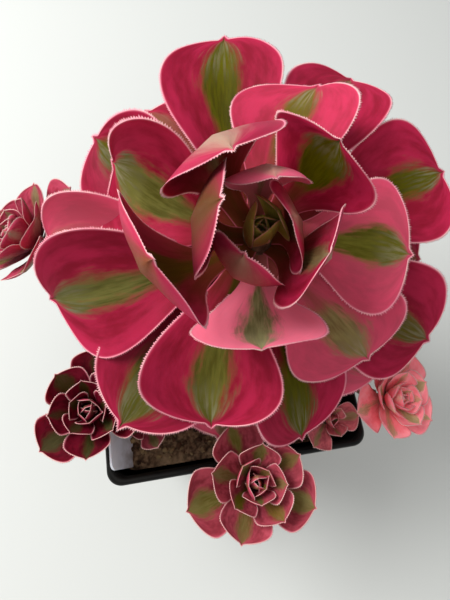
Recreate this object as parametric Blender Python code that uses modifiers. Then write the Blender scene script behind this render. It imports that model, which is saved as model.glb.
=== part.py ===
"""A potted aeonium: one large rosette and six side rosettes on a branched stem.

It stands in a square nursery pot of potting mix with a blank plant label.
Units are metres, +Z is up, and the origin is the middle of the pot's underside.
Lengths in the tables below are in millimetres and are scaled by MM where used.
"""

import math

import bmesh
import bpy
from mathutils import Matrix, Vector, geometry, noise

MM = 0.001

# Clearance that touching pieces keep between their faces, in millimetres.
GAP = 0.3

# Square pot: widths across the flats, heights above the table, wall thicknesses.
POT_HEIGHT = 90.0
POT_RIM_WIDTH = 90.0
POT_NECK_WIDTH = 85.0
POT_FOOT_WIDTH = 62.0
POT_COLLAR_HEIGHT = 11.0
POT_WALL = 1.1
POT_FLOOR = 1.4
POT_LIP = 2.6
POT_CORNER = 0.055
POT_CORNER_STEPS = 3
DRAIN_HOLE_RADIUS = 3.5
DRAIN_HOLE_SPREAD = 20.0
HOLE_SEGMENTS = 16

# Potting mix: how far it lies below the rim, how rough its surface is, and its
# corners beside those of the pot.
SOIL_DROP = 7.0
SOIL_ROUGHNESS = 1.3
SOIL_LUMP = 5.0
SOIL_CELLS = 14
SOIL_CORNER = 1.3
SOIL_SPARE = 0.1

# Blank label, pushed into the mix by the left wall and leaning out over the rim.
LABEL_WIDTH = 14.0
LABEL_LENGTH = 39.0
LABEL_THICKNESS = 0.8
LABEL_TOP = (-43.0, -33.0, 94.0)
LABEL_LEAN = 28.0
LABEL_POINT = 12.0
LABEL_POINT_SHARE = 0.25

# Main stem: where it starts under the mix, and the middle of the large rosette.
STEM_FOOT = (4.0, 6.0, 62.0)
STEM_CLEAR_HEIGHT = 86.0
STEM_RADIUS = 5.2
ROSETTE_BASE = (5.3, 17.3, 130.0)
ROSETTE_TILT = 20.0
ROSETTE_FACING = -120.0
STEM_HOLE_RADIUS = STEM_RADIUS + 0.48

# How strongly the main stem holds its direction at its two ends, the straight run
# below a rosette, and the number of points along a stem.
STEM_START_REACH = 14.0
STEM_END_REACH = 12.0
STRAIGHT_END = 2.0
STEM_POINTS = 7

# Side branches: thickest radius, that radius as a share of the rosette's stem end,
# and how strongly they hold their direction at their two ends.
BRANCH_RADIUS = 2.1
BRANCH_SHARE = 0.8
BRANCH_START_SHARE = 0.4
BRANCH_END_REACH = 5.0
BRANCH_POINTS = 8

# Leaves of the large rosette, hand placed from the lowest to the highest.
# turn: degrees round the rosette's axis.  rise: degrees above square to the axis
# at the root.  bend: change of rise from root to tip.  length, width and root
# height in millimetres.  lean: roll of the blade about its midrib.  swing:
# sideways bend.  cup: half angle of the arc across the blade.
MAIN_LEAVES = (
    (79, 14, -49, 60, 34, -14, -3, 0, 23),
    (-8, 14, -47, 60, 36, -13, 3, 0, 23),
    (-105, 11, -10, 60, 40, -14.5, -6, 0, 17),
    (-52, 12, -24, 57, 36, -12, -4, 3, 22),
    (121, 17, -46, 58, 34, -11.5, 8, 0, 24),
    (103, 18, -44, 71, 39, -9, -4, -25, 24),
    (-132, 3, -1, 64, 35, 1, 1, 1, 4),
    (15, 22, -50, 68, 40, -9, -2, 2, 26),
    (177, 21, -58, 66, 31, -1, -19, -10, 46),
    (150, 11, -26, 56.5, 33, -1, -18, -20, 35),
    (-79, 8, -37, 62, 34, 3, -25, -5, 30),
    (56, 20, -61, 69, 34, -4, -8, -5, 32),
    (-159, 37, -77, 65, 38, 0.5, -21, -23, 32),
    (-36, 17, -47, 64, 38, -3.5, 12, 5, 26),
    (-123, 25, -54, 55, 39, 6, -3, 30, 30),
    (77, 23, -45, 47, 39, 5, -33, -32, 28),
    (-56, 14, -42, 47, 37, 6.5, 17, 9, 21),
    (-11, 23, -33, 40, 37, 8, -7, -5, 16),
    (164, 27, -46, 44, 44, 6.5, -46, -36, 42),
    (43, 30, 68, 41, 30, 6.5, -4, -14, 4),
    (-96, 20, 64, 44, 31, 7, 6, -10, 4),
    (-150, 19, 96, 61, 31, 10.5, -1, -33, 25),
    (126, 21, 117, 51, 30, 10, -12, -14, 26),
    (-47, 50, 48, 42, 26, 7, 12, -5, 13),
    (181, 37, 88, 48, 25, 10.5, -21, -2, 22),
    (86, 45, 85, 40, 20, 9, 2, 10, 33),
    (-12, 55, 65, 31, 23, 9, 26, 10, 29),
    (-126, 32, 90, 36, 21, 9.5, -9, 16, 41),
)
MAIN_ROOT_RADIUS = 3.0
MAIN_CORE_RADIUS = 6.5
MAIN_CORE_BELOW = 18.0
MAIN_CORE_ABOVE = 13.0
CORE_SEGMENTS = 10
CORE_RINGS = 8
CORE_FULLNESS = 0.6

# Young leaves in the heart of a rosette follow the golden angle inwards.
GOLDEN_ANGLE = 137.508
HEART_LEAVES = 10
HEART_LENGTHS = (24.0, 7.0)
HEART_FIRST_TURN = 30.0

# Width as a share of the length, the powers by which lengths fall and rises grow
# inwards, and the cup.
HEART_SHAPE = (0.6, 0.65, 1.0, 30.0)

# Rise, bend and root height of the first and last young leaves of the heart.
HEART_LOW = (62, 50, 9)
HEART_HIGH = (86, 20, 12.5)

# Side rosettes: name, middle, tilt, facing, leaf count, longest leaf, first turn,
# and the height on the main stem where the side branch leaves it.
SIDE_ROSETTES = (
    ("rosette_front", (-0.8, -49.4, 98.6), 2.0, -90.0, 18, 21.5, 192.0, 96.5),
    ("rosette_lower_left", (-46.8, -21.5, 96.5), 7.0, 205.0, 18, 19.5, 75.0, 95.0),
    ("rosette_left", (-62.0, 38.0, 97.0), 45.0, 163.0, 18, 25.0, 10.0, 98.0),
    ("rosette_right", (49.5, -31.0, 99.8), 17.0, -27.0, 18, 19.0, 50.0, 96.0),
    ("rosette_small_left", (-31.5, -27.5, 90.5), 4.0, -140.0, 9, 12.0, 20.0, 90.0),
    ("rosette_small_right", (31.0, -34.5, 90.0), 8.0, -40.0, 9, 14.0, 85.0, 90.5),
)

# Stem end of a side rosette: its radius as a share of the longest leaf, then its
# reach below and above the middle, the root circle and the height of the highest
# root, as shares of that radius.
SIDE_CORE_RADIUS = 0.13
SIDE_CORE_BELOW = 1.2
SIDE_CORE_ABOVE = 1.8
SIDE_ROOT_RADIUS = 0.4
SIDE_TOP_ROOT = 1.6

# Leaves of a side rosette: shortest as a share of the longest, then rise and bend of
# the outermost and innermost leaf.
SIDE_SHORTEST = 0.3
SIDE_RISE = (8.0, 84.0)
SIDE_BEND = (14.0, 30.0)
SIDE_SHAPE = (0.95, 0.8, 1.2, 38.0)

# Leaf outline: half width at the root as a share of the most, how far along the
# widest place is, and the power that shapes it past that place.
LEAF_ROOT = 0.2
LEAF_WIDEST = 0.72
LEAF_SHOULDER = 0.62

# Blades: thickness, faces across and along, and the power by which the outline
# swells below the widest place. Side rosettes have a fuller base to their leaves.
MAIN_BLADE = (1.1, 4, 5, 3.5)
HEART_BLADE = (0.8, 2, 4, 3.5)
SIDE_BLADE = (0.8, 2, 3, 1.3)


def smooth(x):
    """Ease from 0 to 1."""
    x = min(max(x, 0.0), 1.0)
    return x * x * (3.0 - 2.0 * x)


def half_width(t, power):
    """Half width of a spoon-shaped leaf at t along it, as a share of the most."""
    if t < LEAF_WIDEST:
        swell = math.sin(t / LEAF_WIDEST * math.pi / 2.0)
        return LEAF_ROOT + (1.0 - LEAF_ROOT) * swell ** power
    u = (t - LEAF_WIDEST) / (1.0 - LEAF_WIDEST)
    return max(1.0 - u * u, 0.0) ** LEAF_SHOULDER


def axis_frame(tilt, facing):
    """Across, along and axis directions of a rosette that tilts towards facing."""
    t = math.radians(tilt)
    a = math.radians(facing)
    axis = Vector((math.sin(t) * math.cos(a), math.sin(t) * math.sin(a), math.cos(t)))
    across = Vector((1.0, 0.0, 0.0))
    across = (across - axis * across.dot(axis)).normalized()
    return across, axis.cross(across), axis


def leaf_path(frame, base, leaf, root_radius, steps):
    """Midrib points with the direction, side and upper normal of the blade there."""
    across, along, axis = frame
    turn, rise, bend, length, _, height, lean, swing, _ = leaf
    a = math.radians(turn)
    out = across * math.cos(a) + along * math.sin(a)
    side = axis.cross(out)

    def direction(t):
        up = math.radians(rise + bend * t)
        yaw = math.radians(swing * t)
        level = out * math.cos(yaw) + side * math.sin(yaw)
        return level * math.cos(up) + axis * math.sin(up)

    point = Vector(base) + axis * height + out * root_radius
    stations = []
    substeps = 8
    for i in range(steps + 1):
        t = i / steps
        ahead = direction(t)
        level_side = (side - ahead * side.dot(ahead)).normalized()
        normal = ahead.cross(level_side)
        roll = math.radians(lean) * smooth(t)
        rolled = level_side * math.cos(roll) + normal * math.sin(roll)
        stations.append((point.copy(), rolled, ahead.cross(rolled)))
        for k in range(substeps):
            t_mid = (i + (k + 0.5) / substeps) / steps
            point = point + direction(t_mid) * (length / (steps * substeps))
    return stations


def make_leaf(name, frame, base, leaf, root_radius, blade):
    """One thin closed leaf, bent from a grid."""
    thickness, columns, rows, power = blade
    width = leaf[4]
    cup = math.radians(leaf[8])
    stations = leaf_path(frame, base, leaf, root_radius, rows)
    bm = bmesh.new()
    bmesh.ops.create_grid(bm, x_segments=columns, y_segments=rows, size=1.0)
    tips = []
    for vert in bm.verts:
        s = vert.co.x
        t = (vert.co.y + 1.0) / 2.0
        point, side, normal = stations[round(t * rows)]
        arc = cup * smooth(2.0 * t) + 0.0001
        reach = half_width(t, power) * width / 2.0
        vert.co = point + side * (reach * math.sin(arc * s) / arc)
        vert.co += normal * (reach * (1.0 - math.cos(arc * s)) / arc)
        vert.co *= MM
        if t > 0.999:
            tips.append(vert)
    bmesh.ops.pointmerge(bm, verts=tips, merge_co=tips[0].co.copy())
    bmesh.ops.triangulate(bm, faces=bm.faces[:])
    bmesh.ops.recalc_face_normals(bm, faces=bm.faces[:])
    return thicken(name, bm, thickness)


def thicken(name, bm, thickness):
    """A closed blade from an open sheet, with the same triangles on both faces."""
    mesh = bpy.data.meshes.new(name)
    bm.to_mesh(mesh)
    bm.free()
    blade = bpy.data.objects.new(name, mesh)
    solid = blade.modifiers.new("Thickness", "SOLIDIFY")
    solid.thickness = thickness * MM
    solid.offset = 0.0
    return blade


def material(name, colour, roughness):
    """Principled material with a plain colour."""
    result = bpy.data.materials.new(name)
    result.use_nodes = True
    shader = result.node_tree.nodes["Principled BSDF"]
    shader.inputs["Base Color"].default_value = (*colour, 1.0)
    shader.inputs["Roughness"].default_value = roughness
    shader.inputs["Metallic"].default_value = 0.0
    return result


def new_object(name, bm, parts):
    """Object with the mesh in bm, linked to the collection of parts."""
    mesh = bpy.data.meshes.new(name)
    bm.to_mesh(mesh)
    bm.free()
    result = bpy.data.objects.new(name, mesh)
    parts.objects.link(result)
    return result


def evaluated_mesh(source):
    """Mesh of an object with its modifiers, in the object's own coordinates."""
    bpy.context.view_layer.update()
    depsgraph = bpy.context.evaluated_depsgraph_get()
    return bpy.data.meshes.new_from_object(source.evaluated_get(depsgraph))


def fuse(body, pieces, solver):
    """Join the pieces to the body by one Boolean union, and remove them."""
    group = bpy.data.collections.new(body.name + "_pieces")
    bpy.context.scene.collection.children.link(group)
    for piece in pieces:
        group.objects.link(piece)
    union = body.modifiers.new("Union", "BOOLEAN")
    union.operation = "UNION"
    union.operand_type = "COLLECTION"
    union.collection = group
    union.solver = solver
    joined = evaluated_mesh(body)
    body.modifiers.clear()
    body.data = joined
    fill_pockets(joined)
    for piece in pieces:
        bpy.data.objects.remove(piece)
    bpy.data.collections.remove(group)


def fill_pockets(mesh):
    """Fill the tiny closed pockets that are left between leaf roots in a union."""
    bm = bmesh.new()
    bm.from_mesh(mesh)
    left = set(bm.verts)
    shells = []
    while left:
        shell = set()
        front = {left.pop()}
        while front:
            shell |= front
            front = {e.other_vert(v) for v in front for e in v.link_edges} - shell
        left -= shell
        shells.append(shell)
    shells.sort(key=len)
    pockets = [v for shell in shells[:-1] for v in shell]
    bmesh.ops.delete(bm, geom=pockets, context="VERTS")
    bm.to_mesh(mesh)
    bm.free()


def cut(body, cutter):
    """Subtract the cutter, which stays in the scene as a guide."""
    difference = body.modifiers.new("Cut " + cutter.name, "BOOLEAN")
    difference.operation = "DIFFERENCE"
    difference.object = cutter


def cutter_object(name, bm, cutters):
    """Guide object that only cuts others."""
    result = new_object(name, bm, cutters)
    result.hide_render = True
    result.display_type = "WIRE"
    return result


def core_mesh(frame, base, radius, below, above, foot_way):
    """Short rounded stem end that carries a rosette, cut square to its branch."""
    across, along, axis = frame
    bm = bmesh.new()
    middle = Vector(base) + axis * ((above - below) / 2.0)
    reach = (above + below) * CORE_FULLNESS
    turn = Matrix((across, along, axis)).transposed().to_4x4()
    size = Matrix.Diagonal((radius, radius, reach, 1.0))
    place = Matrix.Translation(middle * MM) @ turn @ size @ Matrix.Scale(MM, 4)
    bmesh.ops.create_uvsphere(
        bm, u_segments=CORE_SEGMENTS, v_segments=CORE_RINGS, radius=1.0, matrix=place
    )
    foot = (Vector(base) - foot_way * below) * MM
    whole = bm.verts[:] + bm.edges[:] + bm.faces[:]
    ring = bmesh.ops.bisect_plane(
        bm, geom=whole, dist=1e-7, plane_co=foot, plane_no=foot_way, clear_inner=True
    )
    edges = [e for e in ring["geom_cut"] if isinstance(e, bmesh.types.BMEdge)]
    bmesh.ops.edgeloop_fill(bm, edges=edges)
    bmesh.ops.recalc_face_normals(bm, faces=bm.faces[:])
    return bm


def heart_leaves(count, longest, shortest, first_turn, low, high, shape):
    """Leaves that shrink and close up towards the growing point."""
    slim, fall, climb, cup = shape
    rows = []
    for i in range(count):
        inward = i / max(count - 1, 1)
        length = longest + (shortest - longest) * inward ** fall
        rise = low[0] + (high[0] - low[0]) * inward ** climb
        bend = low[1] + (high[1] - low[1]) * inward
        height = low[2] + (high[2] - low[2]) * inward
        turn = first_turn + GOLDEN_ANGLE * i
        rows.append((turn, rise, bend, length, length * slim, height, 0, 0, cup))
    return rows


def make_main_rosette(parts, finish):
    """The large rosette: big hand-placed leaves round a closed green heart."""
    frame = axis_frame(ROSETTE_TILT, ROSETTE_FACING)
    bm = core_mesh(
        frame, ROSETTE_BASE, MAIN_CORE_RADIUS, MAIN_CORE_BELOW, MAIN_CORE_ABOVE, frame[2]
    )
    core = new_object("main_rosette", bm, parts)
    blades = []
    for i, leaf in enumerate(MAIN_LEAVES):
        blades.append(
            make_leaf(
                f"leaf_{i}", frame, ROSETTE_BASE, leaf, MAIN_ROOT_RADIUS, MAIN_BLADE
            )
        )
    young = heart_leaves(
        HEART_LEAVES, *HEART_LENGTHS, HEART_FIRST_TURN, HEART_LOW, HEART_HIGH, HEART_SHAPE
    )
    root_radius = MAIN_ROOT_RADIUS / 2.0
    for i, leaf in enumerate(young):
        blades.append(
            make_leaf(
                f"young_{i}", frame, ROSETTE_BASE, leaf, root_radius, HEART_BLADE
            )
        )
    fuse(core, blades, "MANIFOLD")
    core.data.materials.append(finish)
    return core


def make_side_rosette(parts, finish, row):
    """A small rosette at the end of a side branch."""
    name, base, tilt, facing, count, longest, first_turn, _ = row
    frame = axis_frame(tilt, facing)
    radius = longest * SIDE_CORE_RADIUS
    _, _, foot_way = branch_end(row)
    below = radius * SIDE_CORE_BELOW
    above = radius * SIDE_CORE_ABOVE
    bm = core_mesh(frame, base, radius, below, above, foot_way)
    core = new_object(name, bm, parts)
    low = (SIDE_RISE[0], SIDE_BEND[0], 0.0)
    high = (SIDE_RISE[1], SIDE_BEND[1], radius * SIDE_TOP_ROOT)
    shortest = longest * SIDE_SHORTEST
    leaves = heart_leaves(count, longest, shortest, first_turn, low, high, SIDE_SHAPE)
    blades = []
    for i, leaf in enumerate(leaves):
        root_radius = radius * SIDE_ROOT_RADIUS
        blades.append(
            make_leaf(f"{name}_{i}", frame, base, leaf, root_radius, SIDE_BLADE)
        )
    fuse(core, blades, "MANIFOLD")
    core.data.materials.append(finish)
    return core


def tube(name, points, radii):
    """Closed mesh tube through the points, with its caps welded."""
    curve = bpy.data.curves.new(name, "CURVE")
    curve.dimensions = "3D"
    curve.bevel_depth = 1.0 * MM
    curve.bevel_resolution = 2
    curve.use_fill_caps = True
    spline = curve.splines.new("POLY")
    spline.points.add(len(points) - 1)
    for target, point, radius in zip(spline.points, points, radii):
        target.co = (*(Vector(point) * MM), 1.0)
        target.radius = radius
    wire = bpy.data.objects.new(name, curve)
    bpy.context.scene.collection.objects.link(wire)
    mesh = evaluated_mesh(wire)
    bpy.data.objects.remove(wire)
    bm = bmesh.new()
    bm.from_mesh(mesh)
    bmesh.ops.remove_doubles(bm, verts=bm.verts[:], dist=1e-6)
    bmesh.ops.recalc_face_normals(bm, faces=bm.faces[:])
    bm.to_mesh(mesh)
    bm.free()
    return bpy.data.objects.new(name, mesh)


def curve_points(start, start_way, start_reach, end, end_way, end_reach, count):
    """Points on a smooth curve that ends in a short straight run along end_way."""
    start = Vector(start)
    straight = Vector(end) - end_way * STRAIGHT_END
    handle_a = start + start_way * start_reach
    handle_b = straight - end_way * end_reach
    points = geometry.interpolate_bezier(start, handle_a, handle_b, straight, count)
    return [Vector(p) for p in points] + [Vector(end)]


def stem_points():
    """Middle line of the main stem: upright in the mix, then bowed to the rosette."""
    axis = axis_frame(ROSETTE_TILT, ROSETTE_FACING)[2]
    top = Vector(ROSETTE_BASE) - axis * (MAIN_CORE_BELOW + GAP)
    clear = (STEM_FOOT[0], STEM_FOOT[1], STEM_CLEAR_HEIGHT)
    up = Vector((0, 0, 1))
    bow = curve_points(
        clear, up, STEM_START_REACH, top, axis, STEM_END_REACH, STEM_POINTS
    )
    return [Vector(STEM_FOOT)] + bow


def point_at_height(points, height):
    """Where the line through the points passes a height."""
    for low, high in zip(points, points[1:]):
        if low.z <= height <= high.z:
            return low.lerp(high, (height - low.z) / (high.z - low.z))
    return points[-1]


def branch_end(row):
    """Start on the main stem, end and end direction of a side branch."""
    _, base, tilt, facing, _, longest, _, fork = row
    start = point_at_height(stem_points(), fork)
    axis = axis_frame(tilt, facing)[2]
    level = Vector((base[0] - start.x, base[1] - start.y, 0.0)).normalized()
    way = (level + axis).normalized()
    end = Vector(base) - way * (longest * SIDE_CORE_RADIUS * SIDE_CORE_BELOW + GAP)
    return start, end, way


def make_stem(parts, finish):
    """Main stem with its side branches, grown as one."""
    points = stem_points()
    trunk = tube("stem", points, [STEM_RADIUS] * len(points))
    parts.objects.link(trunk)
    branches = []
    for row in SIDE_ROSETTES:
        start, end, way = branch_end(row)
        level = Vector((end.x - start.x, end.y - start.y, 0.0))
        reach = level.length * BRANCH_START_SHARE
        level.normalize()
        points = curve_points(
            start, level, reach, end, way, BRANCH_END_REACH, BRANCH_POINTS
        )
        radius = min(BRANCH_RADIUS, row[5] * SIDE_CORE_RADIUS * BRANCH_SHARE)
        branches.append(tube(row[0] + "_branch", points, [radius] * len(points)))
    fuse(trunk, branches, "EXACT")
    trunk.data.materials.append(finish)
    return trunk


def pot_profile():
    """Half widths and heights of the pot, from the underside over the rim inside.

    The small steps beside the driving sizes round off its foot, collar and lip.
    """
    neck = POT_NECK_WIDTH / 2.0
    foot = POT_FOOT_WIDTH / 2.0
    rim = POT_RIM_WIDTH / 2.0
    collar = POT_HEIGHT - POT_COLLAR_HEIGHT
    return (
        (foot - 1.2, 0.0),
        (foot, 1.2),
        (neck, collar - 1.0),
        (rim - 0.8, collar),
        (rim, POT_HEIGHT - 1.6),
        (rim - 0.7, POT_HEIGHT - 0.4),
        (rim - 1.6, POT_HEIGHT),
        (rim - POT_LIP + 0.4, POT_HEIGHT - 0.3),
        (rim - POT_LIP, POT_HEIGHT - 1.2),
        (neck - POT_WALL, collar - 2.0),
        (foot - POT_WALL, POT_FLOOR),
    )


def rounded_square(bm, half, height):
    """Flat face with rounded corners, centred on the axis."""
    made = bmesh.ops.create_grid(bm, x_segments=1, y_segments=1, size=half * MM)
    for vert in made["verts"]:
        vert.co.z = height * MM
    bmesh.ops.bevel(
        bm,
        geom=made["verts"],
        offset=half * 2.0 * POT_CORNER * MM,
        segments=POT_CORNER_STEPS,
        profile=0.5,
        affect="VERTICES",
        material=-1,
    )


def lofted_box(profile):
    """Closed solid through rounded squares: the first and last ones are filled."""
    bm = bmesh.new()
    rounded_square(bm, *profile[0])
    loop = bm.edges[:]
    previous = profile[0][0]
    for half, height in profile[1:]:
        made = bmesh.ops.extrude_edge_only(bm, edges=loop)["geom"]
        verts = [g for g in made if isinstance(g, bmesh.types.BMVert)]
        loop = [g for g in made if isinstance(g, bmesh.types.BMEdge)]
        loop = [e for e in loop if len(e.link_faces) == 1]
        for vert in verts:
            vert.co.x *= half / previous
            vert.co.y *= half / previous
            vert.co.z = height * MM
        previous = half
    bmesh.ops.edgeloop_fill(bm, edges=loop)
    bmesh.ops.recalc_face_normals(bm, faces=bm.faces[:])
    return bm


def make_pot(parts, cutters, finish):
    """Square nursery pot with a collar, a rolled lip and drainage holes."""
    pot = new_object("pot", lofted_box(pot_profile()), parts)
    bm = bmesh.new()
    for x in (-1, 0, 1):
        for y in (-1, 0, 1):
            if x == 0 and y == 0:
                continue
            place = Matrix.Translation(Vector((x, y, 0.0)) * DRAIN_HOLE_SPREAD * MM)
            bmesh.ops.create_cone(
                bm,
                cap_ends=True,
                segments=HOLE_SEGMENTS,
                radius1=DRAIN_HOLE_RADIUS * MM,
                radius2=DRAIN_HOLE_RADIUS * MM,
                depth=POT_FLOOR * 4.0 * MM,
                matrix=place,
            )
    cut(pot, cutter_object("drain_holes", bm, cutters))
    pot.data.materials.append(finish)
    return pot


def inner_half_width(height):
    """Half width inside the pot at a height on its plain wall."""
    low = POT_FOOT_WIDTH / 2.0 - POT_WALL
    high = POT_NECK_WIDTH / 2.0 - POT_WALL
    top = POT_HEIGHT - POT_COLLAR_HEIGHT - 2.0
    return low + (high - low) * (height - POT_FLOOR) / (top - POT_FLOOR)


def soil_top(bm, half, height):
    """Rough sheet with rounded corners, from a grid."""
    bmesh.ops.create_grid(bm, x_segments=SOIL_CELLS, y_segments=SOIL_CELLS, size=half)
    corner = half * 2.0 * POT_CORNER * SOIL_CORNER
    inner = half - corner
    for vert in bm.verts:
        x, y = vert.co.x, vert.co.y
        past = Vector((max(abs(x) - inner, 0.0), max(abs(y) - inner, 0.0)))
        if past.x > 0.0 and past.y > 0.0:
            past *= max(past) / past.length
            x = math.copysign(inner + past.x, x)
            y = math.copysign(inner + past.y, y)
        bump = noise.noise(Vector((x, y, 0.0)) / SOIL_LUMP) * SOIL_ROUGHNESS
        vert.co = Vector((x, y, height + bump)) * MM


def make_soil(parts, cutters, finish):
    """Potting mix that fills the pot, with a rough top and plain holes."""
    floor = POT_FLOOR + GAP
    turn_in = POT_HEIGHT - POT_COLLAR_HEIGHT - 2.0
    surface = POT_HEIGHT - SOIL_DROP
    top_half = inner_half_width(turn_in) - GAP
    bm = bmesh.new()
    soil_top(bm, top_half, surface)
    loop = [e for e in bm.edges if e.is_boundary]
    previous = top_half
    for height in (turn_in, floor):
        half = inner_half_width(height) - GAP - SOIL_SPARE
        made = bmesh.ops.extrude_edge_only(bm, edges=loop)["geom"]
        loop = [g for g in made if isinstance(g, bmesh.types.BMEdge) and g.is_boundary]
        for vert in [g for g in made if isinstance(g, bmesh.types.BMVert)]:
            vert.co.x *= half / previous
            vert.co.y *= half / previous
            vert.co.z = height * MM
        previous = half
    bmesh.ops.edgeloop_fill(bm, edges=loop)
    bmesh.ops.recalc_face_normals(bm, faces=bm.faces[:])
    soil = new_object("potting_soil", bm, parts)

    hole = bmesh.new()
    low = STEM_FOOT[2] - GAP
    middle = Vector((STEM_FOOT[0], STEM_FOOT[1], (low + STEM_CLEAR_HEIGHT) / 2.0)) * MM
    bmesh.ops.create_cone(
        hole,
        cap_ends=True,
        segments=HOLE_SEGMENTS,
        radius1=STEM_HOLE_RADIUS * MM,
        radius2=STEM_HOLE_RADIUS * MM,
        depth=(STEM_CLEAR_HEIGHT - low) * MM,
        matrix=Matrix.Translation(middle),
    )
    cut(soil, cutter_object("stem_hole", hole, cutters))
    cut(soil, cutter_object("label_slot", label_mesh(GAP), cutters))
    soil.data.materials.append(finish)
    return soil


def label_mesh(spare):
    """Flat label with a pointed foot, larger all round by the spare."""
    bm = bmesh.new()
    bmesh.ops.create_cube(bm, size=1.0)
    size = Matrix.Diagonal(
        (LABEL_THICKNESS + 2.0 * spare, LABEL_WIDTH + 2.0 * spare, LABEL_LENGTH + spare, 1.0)
    )
    drop = Matrix.Translation((0.0, 0.0, -(LABEL_LENGTH + spare) / 2.0))
    bmesh.ops.transform(bm, matrix=drop @ size, verts=bm.verts[:])
    shoulder = LABEL_POINT - LABEL_LENGTH
    geom = bm.verts[:] + bm.edges[:] + bm.faces[:]
    bmesh.ops.bisect_plane(bm, geom=geom, plane_co=(0, 0, shoulder), plane_no=(0, 0, 1))
    for vert in bm.verts:
        if vert.co.z < shoulder - 1.0:
            vert.co.y *= LABEL_POINT_SHARE
    lean = Matrix.Rotation(math.radians(-LABEL_LEAN), 4, "Y")
    place = Matrix.Scale(MM, 4) @ Matrix.Translation(Vector(LABEL_TOP)) @ lean
    bmesh.ops.transform(bm, matrix=place, verts=bm.verts[:])
    return bm


def make_label(parts, finish):
    """Blank white plant label."""
    label = new_object("plant_label", label_mesh(0.0), parts)
    label.data.materials.append(finish)
    return label


def main():
    for old in list(bpy.data.objects):
        bpy.data.objects.remove(old)
    parts = bpy.data.collections.new("potted_aeonium")
    cutters = bpy.data.collections.new("cutters")
    for group in (parts, cutters):
        bpy.context.scene.collection.children.link(group)

    crimson = material("crimson_leaf", (0.45, 0.04, 0.10), 0.5)
    bark = material("woody_stem", (0.16, 0.10, 0.06), 0.8)
    black = material("black_polypropylene", (0.01, 0.01, 0.01), 0.4)
    mix = material("potting_mix", (0.12, 0.08, 0.05), 0.95)
    white = material("white_polypropylene", (0.8, 0.82, 0.86), 0.35)

    make_pot(parts, cutters, black)
    make_soil(parts, cutters, mix)
    make_label(parts, white)
    make_stem(parts, bark)
    make_main_rosette(parts, crimson)
    for row in SIDE_ROSETTES:
        make_side_rosette(parts, crimson, row)


main()
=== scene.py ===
"""Finished look of the potted aeonium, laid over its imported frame.

Lengths in the tables are in millimetres and are scaled by MM where they are used.
Places repeat the part's own source, so that every piece sits on its solid.
"""

import itertools
import math
import random

import bmesh
import bpy
import numpy as np
from mathutils import Matrix, Vector, geometry, noise


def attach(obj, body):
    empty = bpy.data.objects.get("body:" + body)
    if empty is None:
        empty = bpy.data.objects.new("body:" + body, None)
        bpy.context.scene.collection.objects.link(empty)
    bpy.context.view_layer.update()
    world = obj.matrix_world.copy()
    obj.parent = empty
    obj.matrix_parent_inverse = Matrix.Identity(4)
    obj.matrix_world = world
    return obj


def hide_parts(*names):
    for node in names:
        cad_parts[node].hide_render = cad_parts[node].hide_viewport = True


bl_info = {
    "name": "Potted aeonium",
    "version": (1, 0, 0),
    "blender": (4, 5, 0),
    "location": "View3D > Sidebar > Aeonium",
    "description": "Builds a potted aeonium with its leaves, stem, pot and mix",
    "category": "Object",
}

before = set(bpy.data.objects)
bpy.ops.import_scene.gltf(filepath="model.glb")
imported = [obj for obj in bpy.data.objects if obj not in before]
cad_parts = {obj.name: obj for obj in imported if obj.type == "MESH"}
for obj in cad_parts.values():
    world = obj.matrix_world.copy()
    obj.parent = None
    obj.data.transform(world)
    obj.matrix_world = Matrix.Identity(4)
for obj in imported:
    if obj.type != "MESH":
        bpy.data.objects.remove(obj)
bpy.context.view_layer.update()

MM = 0.001

# Main rosette: middle, tilt and facing, as in the part.
ROSETTE_BASE = (5.3, 17.3, 130.0)
ROSETTE_TILT = 20.0
ROSETTE_FACING = -120.0
MAIN_ROOT_RADIUS = 3.0
MAIN_CORE_RADIUS = 6.5
MAIN_CORE_BELOW = 18.0
MAIN_CORE_ABOVE = 13.0
CORE_FULLNESS = 0.6

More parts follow.
